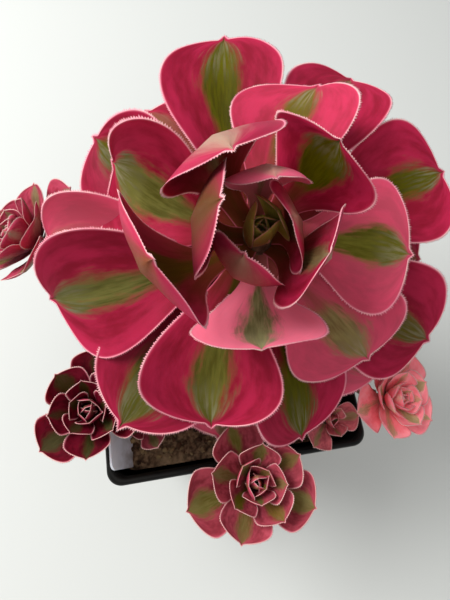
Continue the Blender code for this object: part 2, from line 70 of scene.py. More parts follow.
# Large leaves from the lowest to the highest. Placing, as in the part: turn, rise,
# bend, length, width, root height, lean, swing, cup. Then the marking: strength,
# width and greenness of the green flame, how light the leaf is, and how far along
# the green begins. The lightness of a leaf is partly its own paleness and partly
# painted light and shade: higher on leaves that face the light, lower on shaded ones.
LEAVES = (
    ((79, 14, -49, 60, 34, -14, -3, 0, 23), (0.8, 0.3, 0.6, 0.95, 0.5)),
    ((-8, 14, -47, 60, 36, -13, 3, 0, 23), (0.5, 0.3, 0.5, 0.85, 0.5)),
    ((-105, 11, -10, 60, 40, -14.5, -6, 0, 17), (0.8, 0.3, 0.2, 1.35, 0.5)),
    ((-52, 12, -24, 57, 36, -12, -4, 3, 22), (0.6, 0.3, 0.2, 1.35, 0.6)),
    ((121, 17, -46, 58, 34, -11.5, 8, 0, 24), (0.5, 0.3, 0.5, 0.95, 0.5)),
    ((103, 18, -44, 71, 39, -9, -4, -25, 24), (1.0, 0.36, 1.0, 0.9, 0.0)),
    ((-132, 3, -1, 64, 35, 1, 1, 1, 4), (1.0, 0.42, 0.9, 0.78, 0.1)),
    ((15, 22, -50, 68, 40, -9, -2, 2, 26), (1.0, 0.26, 1.0, 1.18, 0.3)),
    ((177, 21, -58, 66, 31, -1, -19, -10, 46), (0.4, 0.3, 0.2, 1.3, 0.6)),
    ((150, 11, -26, 56.5, 33, -1, -18, -20, 35), (1.0, 0.34, 1.0, 0.88, 0.55)),
    ((-79, 8, -37, 62, 34, 3, -25, -5, 30), (1.0, 0.34, 1.0, 1.0, 0.0)),
    ((56, 20, -61, 69, 34, -4, -8, -5, 32), (0.9, 0.16, 0.9, 1.05, 0.72)),
    ((-159, 37, -77, 65, 38, 0.5, -21, -23, 32), (1.0, 0.28, 0.7, 0.88, 0.0)),
    ((-36, 17, -47, 64, 38, -3.5, 12, 5, 26), (0.95, 0.26, 0.9, 1.0, 0.45)),
    ((-123, 25, -54, 55, 39, 6, -3, 30, 30), (1.0, 0.3, 0.85, 0.95, 0.1)),
    ((77, 23, -45, 47, 39, 5, -33, -32, 28), (0.95, 0.26, 0.95, 1.23, 0.5)),
    ((-56, 14, -42, 47, 37, 6.5, 17, 9, 21), (0.9, 0.3, 0.5, 1.3, 0.5)),
    ((-11, 23, -33, 40, 37, 8, -7, -5, 16), (1.0, 0.32, 0.9, 1.3, 0.35)),
    ((164, 27, -46, 44, 44, 6.5, -46, -36, 42), (1.0, 0.36, 0.75, 1.12, 0.1)),
    ((43, 30, 68, 41, 30, 6.5, -4, -14, 4), (1.0, 0.44, 1.0, 1.12, 0.45)),
    ((-96, 20, 64, 44, 31, 7, 6, -10, 4), (1.0, 0.3, 0.0, 1.55, 0.3)),
    ((-150, 19, 96, 61, 31, 10.5, -1, -33, 25), (0.9, 0.4, 1.0, 1.1, 0.2)),
    ((126, 21, 117, 51, 30, 10, -12, -14, 26), (0.75, 0.3, 0.0, 1.0, 0.3)),
    ((-47, 50, 48, 42, 26, 7, 12, -5, 13), (0.8, 0.25, 0.3, 1.0, 0.3)),
    ((181, 37, 88, 48, 25, 10.5, -21, -2, 22), (1.0, 0.55, 0.95, 0.78, 0.2)),
    ((86, 45, 85, 40, 20, 9, 2, 10, 33), (0.7, 0.3, 0.25, 1.5, 0.3)),
    ((-12, 55, 65, 31, 23, 9, 26, 10, 29), (0.7, 0.4, 0.5, 1.1, 0.3)),
    ((-126, 32, 90, 36, 21, 9.5, -9, 16, 41), (0.8, 0.4, 0.6, 1.05, 0.3)),
)
# Leaves from this one on form the inner piece, whose skin blends into haze further out from the
# root: more painted shade deep in the rosette.
OUTER_LEAVES = 21

# Young leaves of the heart, as in the part.
GOLDEN_ANGLE = 137.508
HEART_LEAVES = 10
HEART_LENGTHS = (24.0, 7.0)
HEART_FIRST_TURN = 30.0
HEART_SHAPE = (0.6, 0.65, 1.0, 30.0)
HEART_LOW = (62, 50, 9)
HEART_HIGH = (86, 20, 12.5)
HEART_MARKS = (1.0, 0.9, 0.8, 1.0, 0.0)

# Side rosettes, as in the part: name, middle, tilt, facing, leaf count, longest
# leaf, first turn, and the height at which the branch leaves the main stem.
SIDE_ROSETTES = (
    ("rosette_front", (-0.8, -49.4, 98.6), 2.0, -90.0, 18, 21.5, 192.0, 96.5),
    ("rosette_lower_left", (-46.8, -21.5, 96.5), 7.0, 205.0, 18, 19.5, 75.0, 95.0),
    ("rosette_left", (-62.0, 38.0, 97.0), 45.0, 163.0, 18, 25.0, 10.0, 98.0),
    ("rosette_right", (49.5, -31.0, 99.8), 17.0, -27.0, 18, 19.0, 50.0, 96.0),
    ("rosette_small_left", (-31.5, -27.5, 90.5), 4.0, -140.0, 9, 12.0, 20.0, 90.0),
    ("rosette_small_right", (31.0, -34.5, 90.0), 8.0, -40.0, 9, 14.0, 85.0, 90.5),
)
SIDE_CORE_RADIUS = 0.13
SIDE_CORE_BELOW = 1.2
SIDE_CORE_ABOVE = 1.8
SIDE_ROOT_RADIUS = 0.4
SIDE_TOP_ROOT = 1.6
SIDE_SHORTEST = 0.3
SIDE_RISE = (8.0, 84.0)
SIDE_BEND = (14.0, 30.0)
SIDE_SHAPE = (0.95, 0.8, 1.2, 38.0)

# Clearance between neighbouring solids, as in the part.
GAP = 0.3

# Vertices closer than this are one when a seam is closed.
SAME_PLACE = 1e-4

# Leaf outline, as in the part.
LEAF_ROOT = 0.2
LEAF_WIDEST = 0.72
LEAF_SHOULDER = 0.62

# Power by which the outline swells below the widest place: side rosettes have a
# fuller base to their leaves.
MAIN_SWELL = 3.5
SIDE_SWELL = 1.3

# Small pointed tip: where it starts past the widest place, its width there, and the
# power by which it narrows.
TIP_START = 0.86
TIP_WIDTH = 0.085
TIP_TAPER = 1.1

# Blades: thickness of the body at the root, depth of the waves along the rim, and
# faces round and along. Rows are crowded towards the tip by a power.
MAIN_BLADE = (2.4, 0.8, 56, 46)
HEART_BLADE = (1.3, 0.2, 32, 28)
SIDE_BLADE = (1.1, 0.25, 32, 26)
TIP_CROWDING = 1.6
MIDRIB_STEPS = 240

# Rims: tooth length, half thickness and spacing. The teeth start some way out, and
# those round the tip point along the leaf.
MAIN_RIM_SPACING = 0.32
HEART_RIM = (0.15, 0.05, 0.3)
SIDE_RIM = (0.25, 0.08, 0.3)
RIM_START = 0.25
RIM_GROWTH = 8.0
RIM_STEPS = 300
TIP_REACH = 1.6

# Unevenness of the teeth: shortest and longest, and how far they lean to the tip.
TOOTH_RANGE = (0.7, 1.2)
TOOTH_SLANT = 0.5

# Waves of a rim: radians along the leaf and across it, where they start, how fast
# they grow there and fade at the tip, and the power by which they die out inwards.
WAVE_ALONG = 12.0
WAVE_ACROSS = 1.5
WAVE_START = 0.25
WAVE_GROWTH = 3.0
WAVE_FADE = 6.0
WAVE_INWARD = 3

# Cup of a blade: how fast it grows from the root, and the least angle, which keeps
# the arc from having no radius.
CUP_GROWTH = 2.0
CUP_LEAST = 0.0001

# Groove over the midrib and keel under it: depth or height, and width. The groove
# starts some way out and deepens at a rate.
GROOVE = (0.012, 0.12)
GROOVE_START = 0.3
GROOVE_GROWTH = 2.0
KEEL = (0.35, 0.16)

# Section of a blade: share of a round lens, how much thinner the tip is, and how
# steeply the body thickens from a narrow end.
LENS_ROUND = 0.6
TIP_THINNING = 0.55
BODY_STEEPNESS = 4.0

# Main stem and branches, as in the part.
STEM_FOOT = (4.0, 6.0, 62.0)
STEM_CLEAR_HEIGHT = 86.0
STEM_RADIUS = 5.2
STEM_START_REACH = 14.0
STEM_END_REACH = 12.0
STRAIGHT_END = 2.0
STEM_POINTS = 7
BRANCH_RADIUS = 2.1
BRANCH_SHARE = 0.8
BRANCH_START_SHARE = 0.4
BRANCH_END_REACH = 5.0
BRANCH_POINTS = 8

# Finer form of the limbs: faces round, length of a face, rounds of smoothing, and
# spacing of the leaf scars. As shares of the radius: the bare limb, its unevenness
# and the height of a scar.
LIMB_SEGMENTS = 28
LIMB_STEP = 0.7
LIMB_SMOOTHING = 6
STEM_SCARS = 4.0
BRANCH_SCARS = 2.5
LIMB_FULLNESS = 0.955
LIMB_WOBBLE = 0.03
SCAR_HEIGHT = 0.02

# Grain of that unevenness round a limb and along it, how narrow a scar is, and a way
# that no limb runs along, from which the faces round it are counted.
LIMB_GRAIN = (2.0, 0.5)
SCAR_SHARPNESS = 8
LIMB_ACROSS = (0.31, 0.17, 0.93)

# Pot, mix and label, as in the part.
POT_HEIGHT = 90.0
POT_RIM_WIDTH = 90.0
POT_NECK_WIDTH = 85.0
POT_FOOT_WIDTH = 62.0
POT_COLLAR_HEIGHT = 11.0
POT_WALL = 1.1
POT_FLOOR = 1.4
POT_LIP = 2.6
POT_CORNER = 0.055
POT_CORNER_STEPS = 12
DRAIN_HOLE_RADIUS = 3.5
DRAIN_HOLE_SPREAD = 20.0
SOIL_DROP = 7.0
SOIL_CORNER = 1.3
SOIL_SPARE = 0.1
LABEL_WIDTH = 14.0
LABEL_LENGTH = 39.0
LABEL_THICKNESS = 0.8
LABEL_TOP = (-43.0, -33.0, 94.0)
LABEL_LEAN = 28.0
LABEL_POINT = 12.0
LABEL_POINT_SHARE = 0.25
LABEL_CORNER = 2.2
LABEL_EDGE = 0.15

# Finer form of the mix: faces each way, height and width of its lumps and crumbs,
# and how far stones stay from the wall and the stem. The stones vary in size, shape
# and tilt, stand partly in the mix and are rough by a share of their size.
SOIL_CELLS = 110
SOIL_LUMPS = (0.9, 5.0)
SOIL_CRUMBS = (0.45, 1.7)
STONE_MARGIN = 1.5
STONE_SIZES = (0.45, 1.5)
STONE_SHAPES = (0.35, 0.6)
STONE_TILT = 0.6
STONE_TURN = 6.28
STONE_RISE = 0.12
STONE_ROUGHNESS = 0.1

# Kinds of stone with their dark and pale colours.
STONE_KINDS = (
    ("grit_tan", "#5A4632", "#B09468"),
    ("bark_chips", "#2C1D14", "#6A4A32"),
)

# Leaf colours in sRGB: grey green of a young flame, haze where the green begins and
# frost under the tip. The haze also darkens the leaf roots, partly as their own
# olive-brown and partly as painted shade. The young and side leaves have before them
# their rose, deep, olive and moss.
MAIN_TINTS = "#8A885C #4E360C #AAA288"
INNER_TINTS = "#8A885C #604216 #A49A80"
# The young tints are paler than the heart's own olive: painted light that brightens the deep,
# shaded heart.
YOUNG_TINTS = "#B8A050 #94802C #A89A3C #84782A #B0A464 #94802C #B0A464"
SIDE_TINTS = {
    "rosette_front": "#A84654 #682028 #5E5A14 #444006 #6A6440 #54401A #8C7C54",
    "rosette_lower_left": "#741026 #40060E #34300A #242204 #4A4628 #2A1208 #6C5E44",
    "rosette_left": "#B04058 #701826 #4C4818 #34320A #7C764E #442414 #A0967C",
    # The right rosette's pale pinks are partly its own colour and partly painted light,
    # brightening it where the large rosette shades it.
    "rosette_right": "#F09A9C #CC6064 #8C7A48 #6A6030 #A89C74 #96584A #C0B298",
    "rosette_small_left": "#A84A58 #702834 #5E5A30 #3E3C14 #7A7454 #5A3424 #9A9074",
    "rosette_small_right": "#C4686E #8C3E48 #7A7444 #524E22 #8A8460 #6A4634 #A69A7E",
}

# Painted light and shade: brightness of the leaves of each side rosette, raised where a
# rosette should look lit and lowered where it should look shaded.
SIDE_PAINTED_LIGHT = {
    "rosette_front": 1.1,
    "rosette_lower_left": 0.85,
    "rosette_left": 1.1,
    "rosette_right": 1.35,
    "rosette_small_left": 0.9,
    "rosette_small_right": 1.2,
}

# Seeds of the random draws.
MAIN_SEED = 7
HEART_SEED = 11
STONE_SEED = 3

# Camera, found from the corners of the pot's rim in the photo.
CAMERA_PLACE = (-29.3, -38.7, 241.9)
CAMERA_RIGHT = (0.977, -0.152, 0.149)
CAMERA_AHEAD = (0.191, 0.320, -0.928)
CAMERA_LENS = 25.98
CAMERA_FILM_HEIGHT = 36.0

# Stage: radius of the floor in millimetres, its colour, and the tint and strength of
# the studio round it. Lamps have a place and a size in metres, power and tint, and
# all are turned to the middle of the plant.
FLOOR_RADIUS = 2500.0
FLOOR_COLOUR = "#D2D4D0"
STUDIO_COLOUR = "#F4F6F8"
STUDIO_STRENGTH = 0.52
LAMPS = (
    ("sky_panel", (-0.6, 0.3, 0.7), 0.5, 10.5, "#FFFFFF"),
    ("fill_panel", (-0.1, -0.3, 0.55), 0.3, 0.5, "#FFF8F0"),
)
LAMP_AIM = (0.0, 0.0, 0.12)

# Values that a leaf's vertices carry to its material: place across and along, upper
# face, distance from the rim in millimetres, seed, and the marking of the leaf, whose
# light value is partly painted light and shade.
LEAF_MARKS = (
    "across", "along", "upper", "edge", "seed", "marking", "spread", "green", "light", "begin",
)

# Settings of the two nodes that the finishes use most.
EASE = {"interpolation_type": "SMOOTHSTEP"}
COLOUR = {"data_type": "RGBA"}


def smooth(x):
    """Ease from 0 to 1."""
    x = np.clip(x, 0.0, 1.0)
    return x * x * (3.0 - 2.0 * x)


def unit(rows):
    """Rows of a table scaled to length one."""
    return rows / np.linalg.norm(rows, axis=-1, keepdims=True)


def linear(code):
    """Linear colour with alpha from an sRGB hex value."""
    parts = [int(code[i : i + 2], 16) / 255.0 for i in (1, 3, 5)]
    low = [c / 12.92 if c <= 0.04045 else ((c + 0.055) / 1.055) ** 2.4 for c in parts]
    return (*low, 1.0)


def colours(codes):
    """Linear colours from a row of sRGB hex values."""
    return [linear(code) for code in codes.split()]


def axis_frame(tilt, facing):
    """Across, along and axis directions of a rosette that tilts towards facing."""
    t = math.radians(tilt)
    a = math.radians(facing)
    axis = Vector((math.sin(t) * math.cos(a), math.sin(t) * math.sin(a), math.cos(t)))
    across = Vector((1.0, 0.0, 0.0))
    across = (across - axis * across.dot(axis)).normalized()
    return across, axis.cross(across), axis


def half_width(t, power):
    """Half width of a blade at t along it, with a pinched tip, as a share of the most."""
    swell = np.sin(np.clip(t / LEAF_WIDEST, 0.0, 1.0) * math.pi / 2.0)
    low = LEAF_ROOT + (1.0 - LEAF_ROOT) * swell**power
    u = np.clip((t - LEAF_WIDEST) / (1.0 - LEAF_WIDEST), 0.0, 1.0)
    blunt = np.clip(u / TIP_START, 0.0, 1.0)
    high = (1.0 - blunt**2) ** LEAF_SHOULDER
    point = TIP_WIDTH * np.clip((1.0 - u) / (1.0 - TIP_START), 0.0, 1.0) ** TIP_TAPER
    # The wider of the two, rounded where they cross.
    high = (high**3 + point**3) ** (1.0 / 3.0)
    return np.where(t < LEAF_WIDEST, low, high)


class Blade:
    """Surface of one leaf: where a point across and along it lies in millimetres."""

    def __init__(self, axes, base, placing, root_radius, power, wave, seed):
        across, along, axis = (np.array(v) for v in axes)
        turn, rise, bend, length, width, height, lean, swing, cup = placing
        a = math.radians(turn)
        out = across * math.cos(a) + along * math.sin(a)
        self.side = np.cross(axis, out)
        self.axis = axis
        self.out = out
        angles = (rise, bend, swing, lean, cup)
        self.rise, self.bend, self.swing, self.lean, self.cup = map(math.radians, angles)
        self.length, self.width, self.power, self.wave = length, width, power, wave
        self.phase = seed * math.tau
        middle = (np.arange(MIDRIB_STEPS) + 0.5) / MIDRIB_STEPS
        travel = self.direction(middle) * (length / MIDRIB_STEPS)
        start = np.array(base) + axis * height + out * root_radius
        self.path = start + np.vstack([np.zeros(3), np.cumsum(travel, axis=0)])
        self.knots = np.linspace(0.0, 1.0, MIDRIB_STEPS + 1)

    def direction(self, t):
        """Way that the midrib runs at t."""
        up = self.rise + self.bend * t
        yaw = self.swing * t
        level = np.cos(yaw)[:, None] * self.out + np.sin(yaw)[:, None] * self.side
        return np.cos(up)[:, None] * level + np.sin(up)[:, None] * self.axis

    def frame_at(self, t):
        """Midrib point, side and upper normal of the blade at t."""
        ahead = self.direction(t)
        level = unit(self.side - ahead * (ahead @ self.side)[:, None])
        normal = np.cross(ahead, level)
        roll = (self.lean * smooth(t))[:, None]
        side = level * np.cos(roll) + normal * np.sin(roll)
        spots = [np.interp(t, self.knots, self.path[:, k]) for k in range(3)]
        return np.stack(spots, axis=1), side, np.cross(ahead, side)

    def reach(self, t):
        """Half width of the blade at t, in millimetres."""
        return half_width(t, self.power) * self.width / 2.0

    def surface(self, s, t):
        """Points and upper normals at s across (-1 to 1) and t along (0 to 1)."""
        middle, side, normal = self.frame_at(t)
        arc = self.cup * smooth(CUP_GROWTH * t) + CUP_LEAST
        reach = self.reach(t)
        x = reach * np.sin(arc * s) / arc
        y = reach * (1.0 - np.cos(arc * s)) / arc
        ripple = np.sin(t * WAVE_ALONG + self.phase + s * WAVE_ACROSS) * np.abs(s) ** WAVE_INWARD
        ripple = ripple * self.wave * smooth((1.0 - t) * WAVE_FADE)
        y = y + ripple * smooth((t - WAVE_START) * WAVE_GROWTH)
        groove = GROOVE[0] * self.width * np.exp(-((s / GROOVE[1]) ** 2))
        y = y - groove * smooth((t - GROOVE_START) * GROOVE_GROWTH)
        tilt = (arc * s)[:, None]
        points = middle + side * x[:, None] + normal * y[:, None]
        return points, normal * np.cos(tilt) - side * np.sin(tilt)


def new_object(name, bm):
    """Object in the scene from a bmesh in millimetres."""
    bmesh.ops.scale(bm, vec=(MM, MM, MM), verts=bm.verts[:])
    mesh = bpy.data.meshes.new(name)
    bm.to_mesh(mesh)
    bm.free()
    made = bpy.data.objects.new(name, mesh)
    bpy.context.scene.collection.objects.link(made)
    return made


def new_piece(name, bm, finish):
    """Piece with its finish, riding on the body."""
    piece = new_object(name, bm)
    piece.data.materials.append(finish)
    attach(piece, "root")
    return piece


def mark_layers(bm):
    """Number layers that carry a leaf's markings to its material."""
    for name in LEAF_MARKS:
        bm.verts.layers.float.new(name)
    return [bm.verts.layers.float[name] for name in LEAF_MARKS]


def add_blade(bm, layers, blade, body, marks, around, rows):
    """Closed lens-shaped blade: a grid rolled into a tube, with both ends closed."""
    made = bmesh.ops.create_grid(bm, x_segments=around, y_segments=rows, size=1.0)
    verts = made["verts"]
    flat = np.array([v.co for v in verts])
    a = (flat[:, 0] + 1.0) * math.pi
    t = 1.0 - ((1.0 - flat[:, 1]) / 2.0) ** TIP_CROWDING
    s = np.cos(a)
    upper = np.sin(a)
    points, normals = blade.surface(s, t)
    flatter = 1.0 - s * s
    lens = np.sqrt(np.clip(flatter, 0.0, 1.0)) * LENS_ROUND + flatter * (1.0 - LENS_ROUND)
    ends = np.clip(blade.reach(t) * BODY_STEEPNESS / blade.width, 0.0, 1.0)
    stout = body * (1.0 - TIP_THINNING * smooth(t)) * ends
    keel = 1.0 + KEEL[0] * np.exp(-((s / KEEL[1]) ** 2)) * (upper < 0.0)
    points = points + normals * (np.sign(upper) * lens * stout * keel / 2.0)[:, None]
    edge = np.minimum((1.0 - np.abs(s)) * blade.reach(t), (1.0 - t) * blade.length)
    for i, vert in enumerate(verts):
        vert.co = points[i]
        for layer, value in zip(layers, (s[i], t[i], 0.5 + 0.5 * upper[i], edge[i], *marks)):
            vert[layer] = value
    tips = [v for v, at in zip(verts, t) if at > 0.999]
    bmesh.ops.pointmerge(bm, verts=tips, merge_co=tips[0].co.copy())
    seam = [v for v, at in zip(verts, flat) if v.is_valid and abs(abs(at[0]) - 1.0) < 1e-6]
    bmesh.ops.remove_doubles(bm, verts=seam, dist=SAME_PLACE)
    bmesh.ops.edgeloop_fill(bm, edges=[e for e in bm.edges if e.is_boundary])


def add_fringe(bm, blade, tooth, bead, spacing, seed):
    """Pale rim of a leaf with its fine teeth, as a thin rod along the margin."""
    # The margin, from the root on one side round the tip to the root on the other.
    fine = 1.0 - np.linspace(1.0 - RIM_START, 0.0, RIM_STEPS) ** TIP_CROWDING
    left, _ = blade.surface(-np.ones_like(fine), fine)
    right, _ = blade.surface(np.ones_like(fine), fine)
    walk = np.vstack([left, right[::-1][1:]])
    along = np.concatenate([fine, fine[::-1][1:]])
    sign = np.concatenate([-np.ones_like(fine), np.ones(len(fine) - 1)])
    run = np.concatenate([[0.0], np.cumsum(np.linalg.norm(np.diff(walk, axis=0), axis=1))])
    rings = int(run[-1] / spacing) // 2 * 2
    at = np.linspace(0.0, run[-1], rings + 1)
    spots = np.stack([np.interp(at, run, walk[:, k]) for k in range(3)], axis=1)
    t = np.interp(at, run, along)
    s = np.interp(at, run, sign)

    # Outward is square to the margin, and turns to the leaf's own way round the tip.
    _, side, normal = blade.frame_at(t)
    ahead = unit(np.gradient(spots, axis=0))
    outward = np.cross(ahead, normal)
    outward = unit(outward * np.sign(np.sum(outward * side, axis=1) * s + 1e-9)[:, None])
    lead = unit(blade.direction(t))
    near_tip = np.exp(-(((at - run[-1] / 2.0) / TIP_REACH) ** 2))[:, None]
    outward = unit(outward * (1.0 - near_tip) + lead * near_tip)

    # The rod has four corners, and every other ring has its outer one drawn out to a
    # tooth.
    made = bmesh.ops.create_grid(bm, x_segments=4, y_segments=rings, size=1.0)
    chance = random.Random(seed)
    reach = [tooth * chance.uniform(*TOOTH_RANGE) if i % 2 else 0.0 for i in range(rings + 1)]
    slant = [chance.uniform(0.0, TOOTH_SLANT) * tooth for _ in range(rings + 1)]
    fade = smooth((t - RIM_START) * RIM_GROWTH)
    ways = ((1.0, 0.0), (0.0, 1.0), (-1.0, 0.0), (0.0, -1.0))
    seam = []
    for vert in made["verts"]:
        corner = round((vert.co.x + 1.0) * 2.0) % 4
        i = round((vert.co.y + 1.0) / 2.0 * rings)
        if corner == 0:
            seam.append(vert)
        x, y = ways[corner]
        spot = spots[i] + (outward[i] * x + normal[i] * y) * bead * fade[i]
        if corner == 0:
            spot = spot + (outward[i] * reach[i] + lead[i] * slant[i] * (reach[i] > 0)) * fade[i]
        vert.co = spot
    bmesh.ops.remove_doubles(bm, verts=seam, dist=SAME_PLACE)
    bmesh.ops.edgeloop_fill(bm, edges=[e for e in bm.edges if e.is_boundary])


def finish_mesh(bm):
    """Turn the faces outward and shade them smoothly."""
    bmesh.ops.recalc_face_normals(bm, faces=bm.faces[:])
    for face in bm.faces:
        face.smooth = True


def heart_placing(count, longest, shortest, first_turn, low, high, shape):
    """Placing of leaves that shrink and close up towards the growing point."""
    slim, fall, climb, cup = shape
    rows = []
    for i in range(count):
        inward = i / max(count - 1, 1)
        length = longest + (shortest - longest) * inward**fall
        rise = low[0] + (high[0] - low[0]) * inward**climb
        bend = low[1] + (high[1] - low[1]) * inward
        height = low[2] + (high[2] - low[2]) * inward
        turn = first_turn + GOLDEN_ANGLE * i
        rows.append((turn, rise, bend, length, length * slim, height, 0, 0, cup))
    return rows


def add_node(tree, kind, inputs=(), out=0, **settings):
    """Add a node with its settings and give its output.

    Inputs are numbers, colours or other outputs, in order or by name.
    """
    node = tree.nodes.new("ShaderNode" + kind)
    for key, value in settings.items():
        setattr(node, key, value)
    pairs = inputs.items() if isinstance(inputs, dict) else enumerate(inputs)
    for key, value in pairs:
        if isinstance(value, bpy.types.NodeSocket):
            tree.links.new(value, node.inputs[key])
        else:
            node.inputs[key].default_value = value
    return node.outputs[out]


def new_finish(name, roughness, specular=0.5):
    """Material with an empty tree round its Principled shader."""
    finish = bpy.data.materials.new(name)
    finish.use_nodes = True
    shader = finish.node_tree.nodes["Principled BSDF"]
    shader.inputs["Roughness"].default_value = roughness
    shader.inputs["Specular IOR Level"].default_value = specular
    return finish, finish.node_tree, shader


def layered_finish(name, roughness, specular, base, layers, relief=None):
    """Finish of one colour with speckles of others over it, and fine relief.

    A layer has its texture and output, its grains per metre and detail, how its edges
    run, the range that shows with how much of it, and its colour. The relief has its
    grains per metre and detail, its strength and its depth in metres.
    """
    finish, tree, shader = new_finish(name, roughness, specular)
    spot = add_node(tree, "TexCoord", out="Object")
    colour = linear(base)
    for kind, out, scale, detail, edges, span, tint in layers:
        speckle = add_node(tree, kind, {"Vector": spot, "Scale": scale, "Detail": detail}, out)
        share = add_node(tree, "MapRange", (speckle, *span), interpolation_type=edges)
        colour = add_node(tree, "Mix", {0: share, 6: colour, 7: linear(tint)}, 2, **COLOUR)
    tree.links.new(colour, shader.inputs["Base Color"])
    if relief:
        scale, detail, strength, depth = relief
        grain = add_node(tree, "TexNoise", {"Vector": spot, "Scale": scale, "Detail": detail})
        bump = {"Height": grain, "Strength": strength, "Distance": depth}
        tree.links.new(add_node(tree, "Bump", bump), shader.inputs["Normal"])
    return finish, tree, shader


def leaf_finish(name, tints, shade=(0.5, 0.05)):
    """Waxy succulent leaf: crimson skin with a feathered green flame and a pale rim.

    The skin is satin with a faint bloom. The flame follows the midrib, and its edge
    is drawn out in streaks along the veins, a few tenths of a millimetre apart.
    """
    rose, deep, olive, moss, grey, haze, frost = tints
    finish, tree, shader = new_finish(name, 0.5, 0.06)
    across, along, upper, edge, seed, strength, spread, green, light, begin = (
        add_node(tree, "Attribute", out="Fac", attribute_name=mark) for mark in LEAF_MARKS
    )
    off = add_node(tree, "Math", (across,), operation="ABSOLUTE")

    # Veins, broad bands and mottling: noise stretched along the leaf, new on each.
    place = add_node(tree, "CombineXYZ", (across, along, seed))
    noises = []
    for stretch, detail in (((18.0, 6.0), 4.0), ((2.6, 3.2), 2.0), ((9.0, 11.0), 3.0)):
        spot = add_node(tree, "VectorMath", (place, (*stretch, 91.0)), operation="MULTIPLY")
        look = {"Vector": spot, "Scale": 1.0, "Detail": detail, "Roughness": 0.6}
        noises.append(add_node(tree, "TexNoise", look))
    veins, bands, mottle = noises

    # Skin: deeper along the middle, rosier by the rim and outwards, softly clouded.
    # Leaves with a light value above 1.2 are mixed towards pale pink: partly their own
    # paleness, partly painted light.
    cloud = add_node(tree, "Mix", {0: 0.65, 2: mottle, 3: bands})
    rosy = 0.0
    for value, low, high, most in (
        (cloud, 0.36, 0.64, 0.65),
        (along, 0.35, 0.95, 0.15),
        (edge, 6.0, 0.5, 0.2),
    ):
        part = add_node(tree, "MapRange", (value, low, high, 0.0, most), **EASE)
        rosy = add_node(tree, "Math", (rosy, part), operation="ADD", use_clamp=True)
    skin = add_node(tree, "Mix", {0: rosy, 6: deep, 7: rose}, 2, **COLOUR)
    pale = add_node(tree, "MapRange", (light, 1.2, 1.7))
    skin = add_node(tree, "Mix", {0: pale, 6: skin, 7: linear("#F07A92")}, 2, **COLOUR)

    # Flame: narrow from the root, bulging at four fifths and closing to the tip. Its
    # edge wanders with the noises.
    wide = add_node(tree, "MapRange", (along, 0.3, 0.8, 0.55, 1.0), **EASE)
    close = add_node(tree, "MapRange", (along, 1.04, 0.84, 0.3, 1.0), **EASE)
    reach = add_node(tree, "Math", (wide, close), operation="MULTIPLY")
    reach = add_node(tree, "Math", (spread, reach), operation="MULTIPLY")
    feather, wander, blotch = (
        add_node(tree, "Math", (drawn, most, most / -2.0), operation="MULTIPLY_ADD")
        for drawn, most in ((veins, 0.32), (bands, 0.45), (mottle, 0.3))
    )
    ragged = add_node(tree, "Math", (feather, wide, wander), operation="MULTIPLY_ADD")
    ragged = add_node(tree, "Math", (ragged, blotch), operation="ADD")
    outside = add_node(tree, "Math", (off, ragged), operation="SUBTRACT")
    depth = add_node(tree, "Math", (reach, outside), operation="SUBTRACT")
    mask = add_node(tree, "MapRange", (depth, -0.13, 0.15, 0.0, strength), **EASE)
    past = add_node(tree, "Math", (along, wander), operation="ADD")
    past = add_node(tree, "Math", (past, begin), operation="SUBTRACT")
    begun = add_node(tree, "MapRange", (past, -0.12, 0.1), **EASE)

    # Green of the flame: darker veins and bands, silvery streaks by the tip, haze
    # where it begins.
    tone = add_node(tree, "Mix", {0: green, 6: grey, 7: olive}, 2, **COLOUR)
    dark_veins = add_node(tree, "MapRange", (veins, 0.36, 0.66, 0.0, 0.4), **EASE)
    dark_bands = add_node(tree, "MapRange", (bands, 0.35, 0.65, 0.0, 0.35), **EASE)
    dark = add_node(tree, "Math", (dark_veins, dark_bands), operation="ADD")
    leafy = add_node(tree, "Mix", {0: dark, 6: tone, 7: moss}, 2, **COLOUR)
    most = add_node(tree, "MapRange", (along, 0.66, 0.94, 0.0, 0.32), **EASE)
    silver = add_node(tree, "MapRange", (veins, 0.4, 0.66, 0.0, most), **EASE)
    leafy = add_node(tree, "Mix", {0: silver, 6: leafy, 7: frost}, 2, **COLOUR)
    flame = add_node(tree, "Mix", {0: begun, 6: haze, 7: leafy}, 2, **COLOUR)
    share = add_node(tree, "Math", (begun, 0.5, 0.5), operation="MULTIPLY_ADD")
    share = add_node(tree, "Math", (mask, share), operation="MULTIPLY")
    face = add_node(tree, "Mix", {0: share, 6: skin, 7: flame}, 2, **COLOUR)
    # Towards the root the face blends into the haze colour over the shade range: partly the
    # leaf's own olive-brown base, partly painted shade deep in the rosette.
    root = add_node(tree, "MapRange", (along, *shade, 0.0, 0.75), **EASE)
    face = add_node(tree, "Mix", {0: root, 6: face, 7: haze}, 2, **COLOUR)

    # Underside: dusty rose, with a frosted or olive patch by the tip.
    full = add_node(tree, "Math", (spread, 2.2), operation="MULTIPLY")
    most = add_node(tree, "MapRange", (along, 0.3, 0.85, 0.0, 0.9), **EASE)
    most = add_node(tree, "Math", (most, strength), operation="MULTIPLY")
    patch = add_node(tree, "MapRange", (outside, full, 0.0, 0.0, most), **EASE)
    under = add_node(tree, "Mix", {0: 0.35, 6: skin, 7: linear("#BC3C5C")}, 2, **COLOUR)
    tone = add_node(tree, "Mix", {0: green, 6: frost, 7: haze}, 2, **COLOUR)
    under = add_node(tree, "Mix", {0: patch, 6: under, 7: tone}, 2, **COLOUR)
    top = add_node(tree, "MapRange", (upper, 0.45, 0.55), **EASE)
    both = add_node(tree, "Mix", {0: top, 6: under, 7: face}, 2, **COLOUR)
